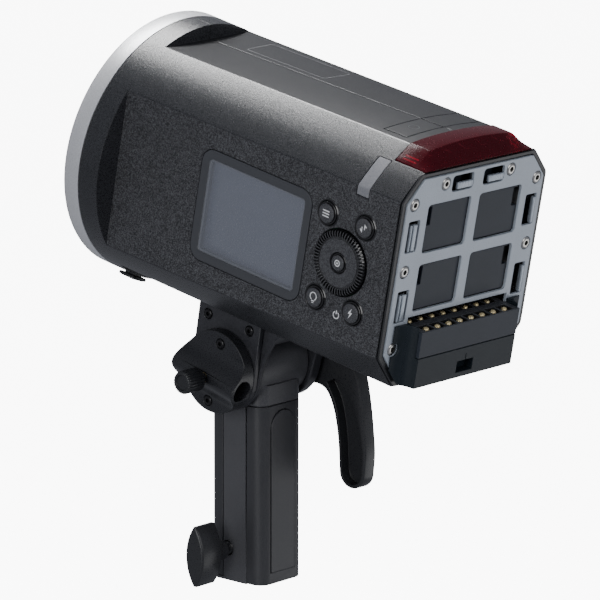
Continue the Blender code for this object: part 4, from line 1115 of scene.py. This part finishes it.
def make_lever():
    """A curved lever with a sunk pocket, which rides on the tilt axle."""
    inner = flowing([(0.0098, -0.0139), (0.015, -0.0132), (0.0205, -0.0152), (0.0245, -0.0215),
                     (0.027, -0.03), (0.0285, -0.04), (0.0293, -0.053)], 5)
    outer = flowing([(0.0451, -0.0532), (0.0459, -0.043), (0.0448, -0.03), (0.043, -0.017), (0.04, -0.005),
                     (0.033, 0.0045), (0.02, 0.012), (0.0058, 0.016)], 5)
    outline = arc((0.0, 0.0), 0.017, 72, 304, 28)[:-1] + inner[:-1]
    outline += arc((0.0372, -0.0532), 0.0079, 180, 360, 16)[:-1] + outer[:-1]
    pocket = flowing([(0.0215, -0.0115), (0.0262, -0.0195), (0.0288, -0.029), (0.0302, -0.04),
                      (0.0309, -0.053)], 5)[:-1]
    pocket += arc((0.0372, -0.053), 0.0063, 180, 360, 14)[:-1]
    pocket += flowing([(0.0435, -0.053), (0.044, -0.043), (0.0424, -0.032), (0.0383, -0.0202),
                       (0.0325, -0.0124), (0.0262, -0.0088)], 5)
    low, high = -0.034, -0.0262
    body = side_prism(outline, low, high)
    soften(body, 0.0009, 60.0, 3)
    shape = cut(body, side_prism(pocket, high - 0.0055, high + 0.001),
                rod(0.0053, -0.0365, -0.02, 32, TO_X))
    look("tilt_lever", shape, SATIN_BLACK, body="tilt_lever", place=LEVER, round_off=0.00022, smooth=28.0)


make_yoke()
make_lever()


# ---------------------------------------------------------------- the handle


def make_handle():
    """The handle's finish, and the wing screw at its foot: two arcs that meet in points, on a neck."""
    dress("handle_core", GRIP_SIDE, 0.0004)
    dress("handle_rear_cover", GRIP, 0.0003)
    dress("rear_grip", GRIP, 0.0003)
    dress("front_grip", GRIP, 0.0003)
    dress("spigot_pad", BRASS, 0.0002)
    clamp = Vector(JOINTS["spigot_screw_turn"]["pos_m"])
    half_height, half_width = 0.0157, 0.0056
    bow = (half_height**2 - half_width**2) / (2 * half_width)
    radius = bow + half_width
    spread = math.degrees(math.asin(half_height / radius))
    leaf = arc((-bow, 0.0), radius, -spread, spread, 28)[1:-1]
    leaf += arc((bow, 0.0), radius, 180 - spread, 180 + spread, 28)[1:-1]
    wing = side_prism(leaf, 0.0245, 0.0385)
    soften(wing, 0.0012, 60.0, 4)
    neck = lathe([(0.0, 0.0186), (0.0042, 0.0186), (0.0048, 0.0192), (0.0048, 0.025), (0.0, 0.025)], 40, TO_X,
                 closed=False)
    thread = [(0.0, 0.0133)]
    for i in range(14):
        thread += [(0.003, 0.0134 + 0.0004 * i), (0.0027, 0.0136 + 0.0004 * i)]
    thread += [(0.003, 0.019), (0.0, 0.019)]
    knob = merged(wing, neck, lathe(thread, 32, TO_X, closed=False))
    look("spigot_knob", moved(knob, at(0.0, clamp.y, clamp.z)), SATIN_BLACK, body="spigot_screw", place=STAND)


def make_inside():
    """The finish of the inner parts, a screen behind the slots and a lip under the top seam, both near black as
    painted shade.
    """
    for i in (1, 2):
        dress(f"flash_capacitor_{i}", SLEEVE, 0.0008)
    dress("main_board", BOARD, 0.0002)
    dress("fan_frame", SATIN_BLACK, 0.0004)
    dress("fan_rotor", SATIN_BLACK, 0.0002)
    # A near-black sheet behind the vent slots, as painted shade.
    screen = soften(box((-0.0478, 0.006, 0.058), (-0.047, 0.08, 0.114)), 0.0002)
    piece("vent_screen", screen, PAINTED_SHADE, "satin_black")
    # The lip blocks light through the seam and is near black as painted shade.
    lip = []
    for y in (-0.055, 0.0735):
        z = top_at(SEAM_X, y).translation.z - 0.0028
        lip.append([(SEAM_X - 0.003, y, z - 0.0008), (SEAM_X + 0.003, y, z - 0.0008), (SEAM_X + 0.003, y, z),
                    (SEAM_X - 0.003, y, z)])
    piece("seam_lip", loft(lip), PAINTED_SHADE, "satin_black")


make_handle()
make_inside()


# ---------------------------------------------------------------- stage, light and camera


def area_light(name, offset, target, size, power):
    """A soft rectangular light at an offset from its target, unseen by the camera."""
    data = bpy.data.lights.new(name, "AREA")
    data.shape = "RECTANGLE"
    data.size, data.size_y = size
    data.energy = power
    lamp = bpy.data.objects.new(name, data)
    lamp.location = target + offset
    lamp.visible_camera = False
    lamp.rotation_euler = (-offset).to_track_quat("-Z", "Y").to_euler()
    bpy.context.scene.collection.objects.link(lamp)


def make_backdrop():
    """A plain white studio sweep: a round floor that curves up into a dome, seen but throwing no light."""
    profile = [(0.0, -0.42), (0.0, -0.4), (9.0, -0.4), (10.5, -0.2), (11.5, 0.5), (12.0, 2.0), (12.0, 6.0),
               (9.0, 10.0), (0.0, 11.0), (0.0, 11.1), (9.1, 10.1), (12.1, 6.1), (12.1, 0.5), (10.5, -0.42)]
    sweep = as_object("floor", lathe(profile, 64, closed=False))
    paint = grained("floor_white", (0.88, 0.88, 0.88), (0.92, 0.92, 0.92), 0.9, 4.0, 0.0)
    shader = paint.node_tree.nodes["Principled BSDF"]
    shader.inputs["Emission Color"].default_value = (1.0, 1.0, 1.0, 1.0)
    shader.inputs["Emission Strength"].default_value = 9.0
    sweep.data.materials.append(paint)
    sweep.visible_diffuse = sweep.visible_glossy = sweep.visible_transmission = sweep.visible_shadow = False


def make_stage():
    """The backdrop, sky, camera and four soft lights."""
    make_backdrop()
    world = bpy.data.worlds.new("studio")
    bpy.context.scene.world = world
    world.use_nodes = True
    sky = world.node_tree.nodes["Background"]
    sky.inputs["Color"].default_value = (0.93, 0.96, 1.07, 1.0)
    sky.inputs["Strength"].default_value = 0.27

    low, high = CAD_BOX
    centre = (low + high) / 2
    azimuth, elevation, distance = math.radians(132.22), math.radians(13.41), 2.6074
    back = Vector((math.sin(azimuth) * math.cos(elevation), -math.cos(azimuth) * math.cos(elevation),
                   math.sin(elevation)))
    right = Vector((math.cos(azimuth), math.sin(azimuth), 0.0))
    up = back.cross(right)
    camera_place = PIVOT + back * distance
    target = PIVOT + right * 0.0207 + up * 0.029
    gaze = (target - camera_place).normalized()
    right = gaze.cross(up).normalized()
    up = right.cross(gaze)
    data = bpy.data.cameras.new("camera")
    data.sensor_width = 36.0
    data.lens = 329.95
    data.clip_start = 0.05
    data.clip_end = 50.0
    camera = bpy.data.objects.new("camera", data)
    turn = Matrix((right, up, -gaze)).transposed().to_4x4()
    camera.matrix_world = Matrix.Translation(camera_place) @ turn
    bpy.context.scene.collection.objects.link(camera)
    bpy.context.scene.camera = camera

    area_light("key", Vector((-0.37, -0.72, 1.27)), centre, (0.8, 0.45), 31.0)
    area_light("rear", Vector((0.1, 1.45, 0.45)), centre, (1.0, 0.9), 5.0)
    area_light("side", Vector((1.45, 0.3, 0.25)), centre, (0.8, 0.9), 9.0)
    area_light("bounce", Vector((-1.1, 0.85, -0.6)), centre, (0.9, 0.6), 2.0)


make_stage()
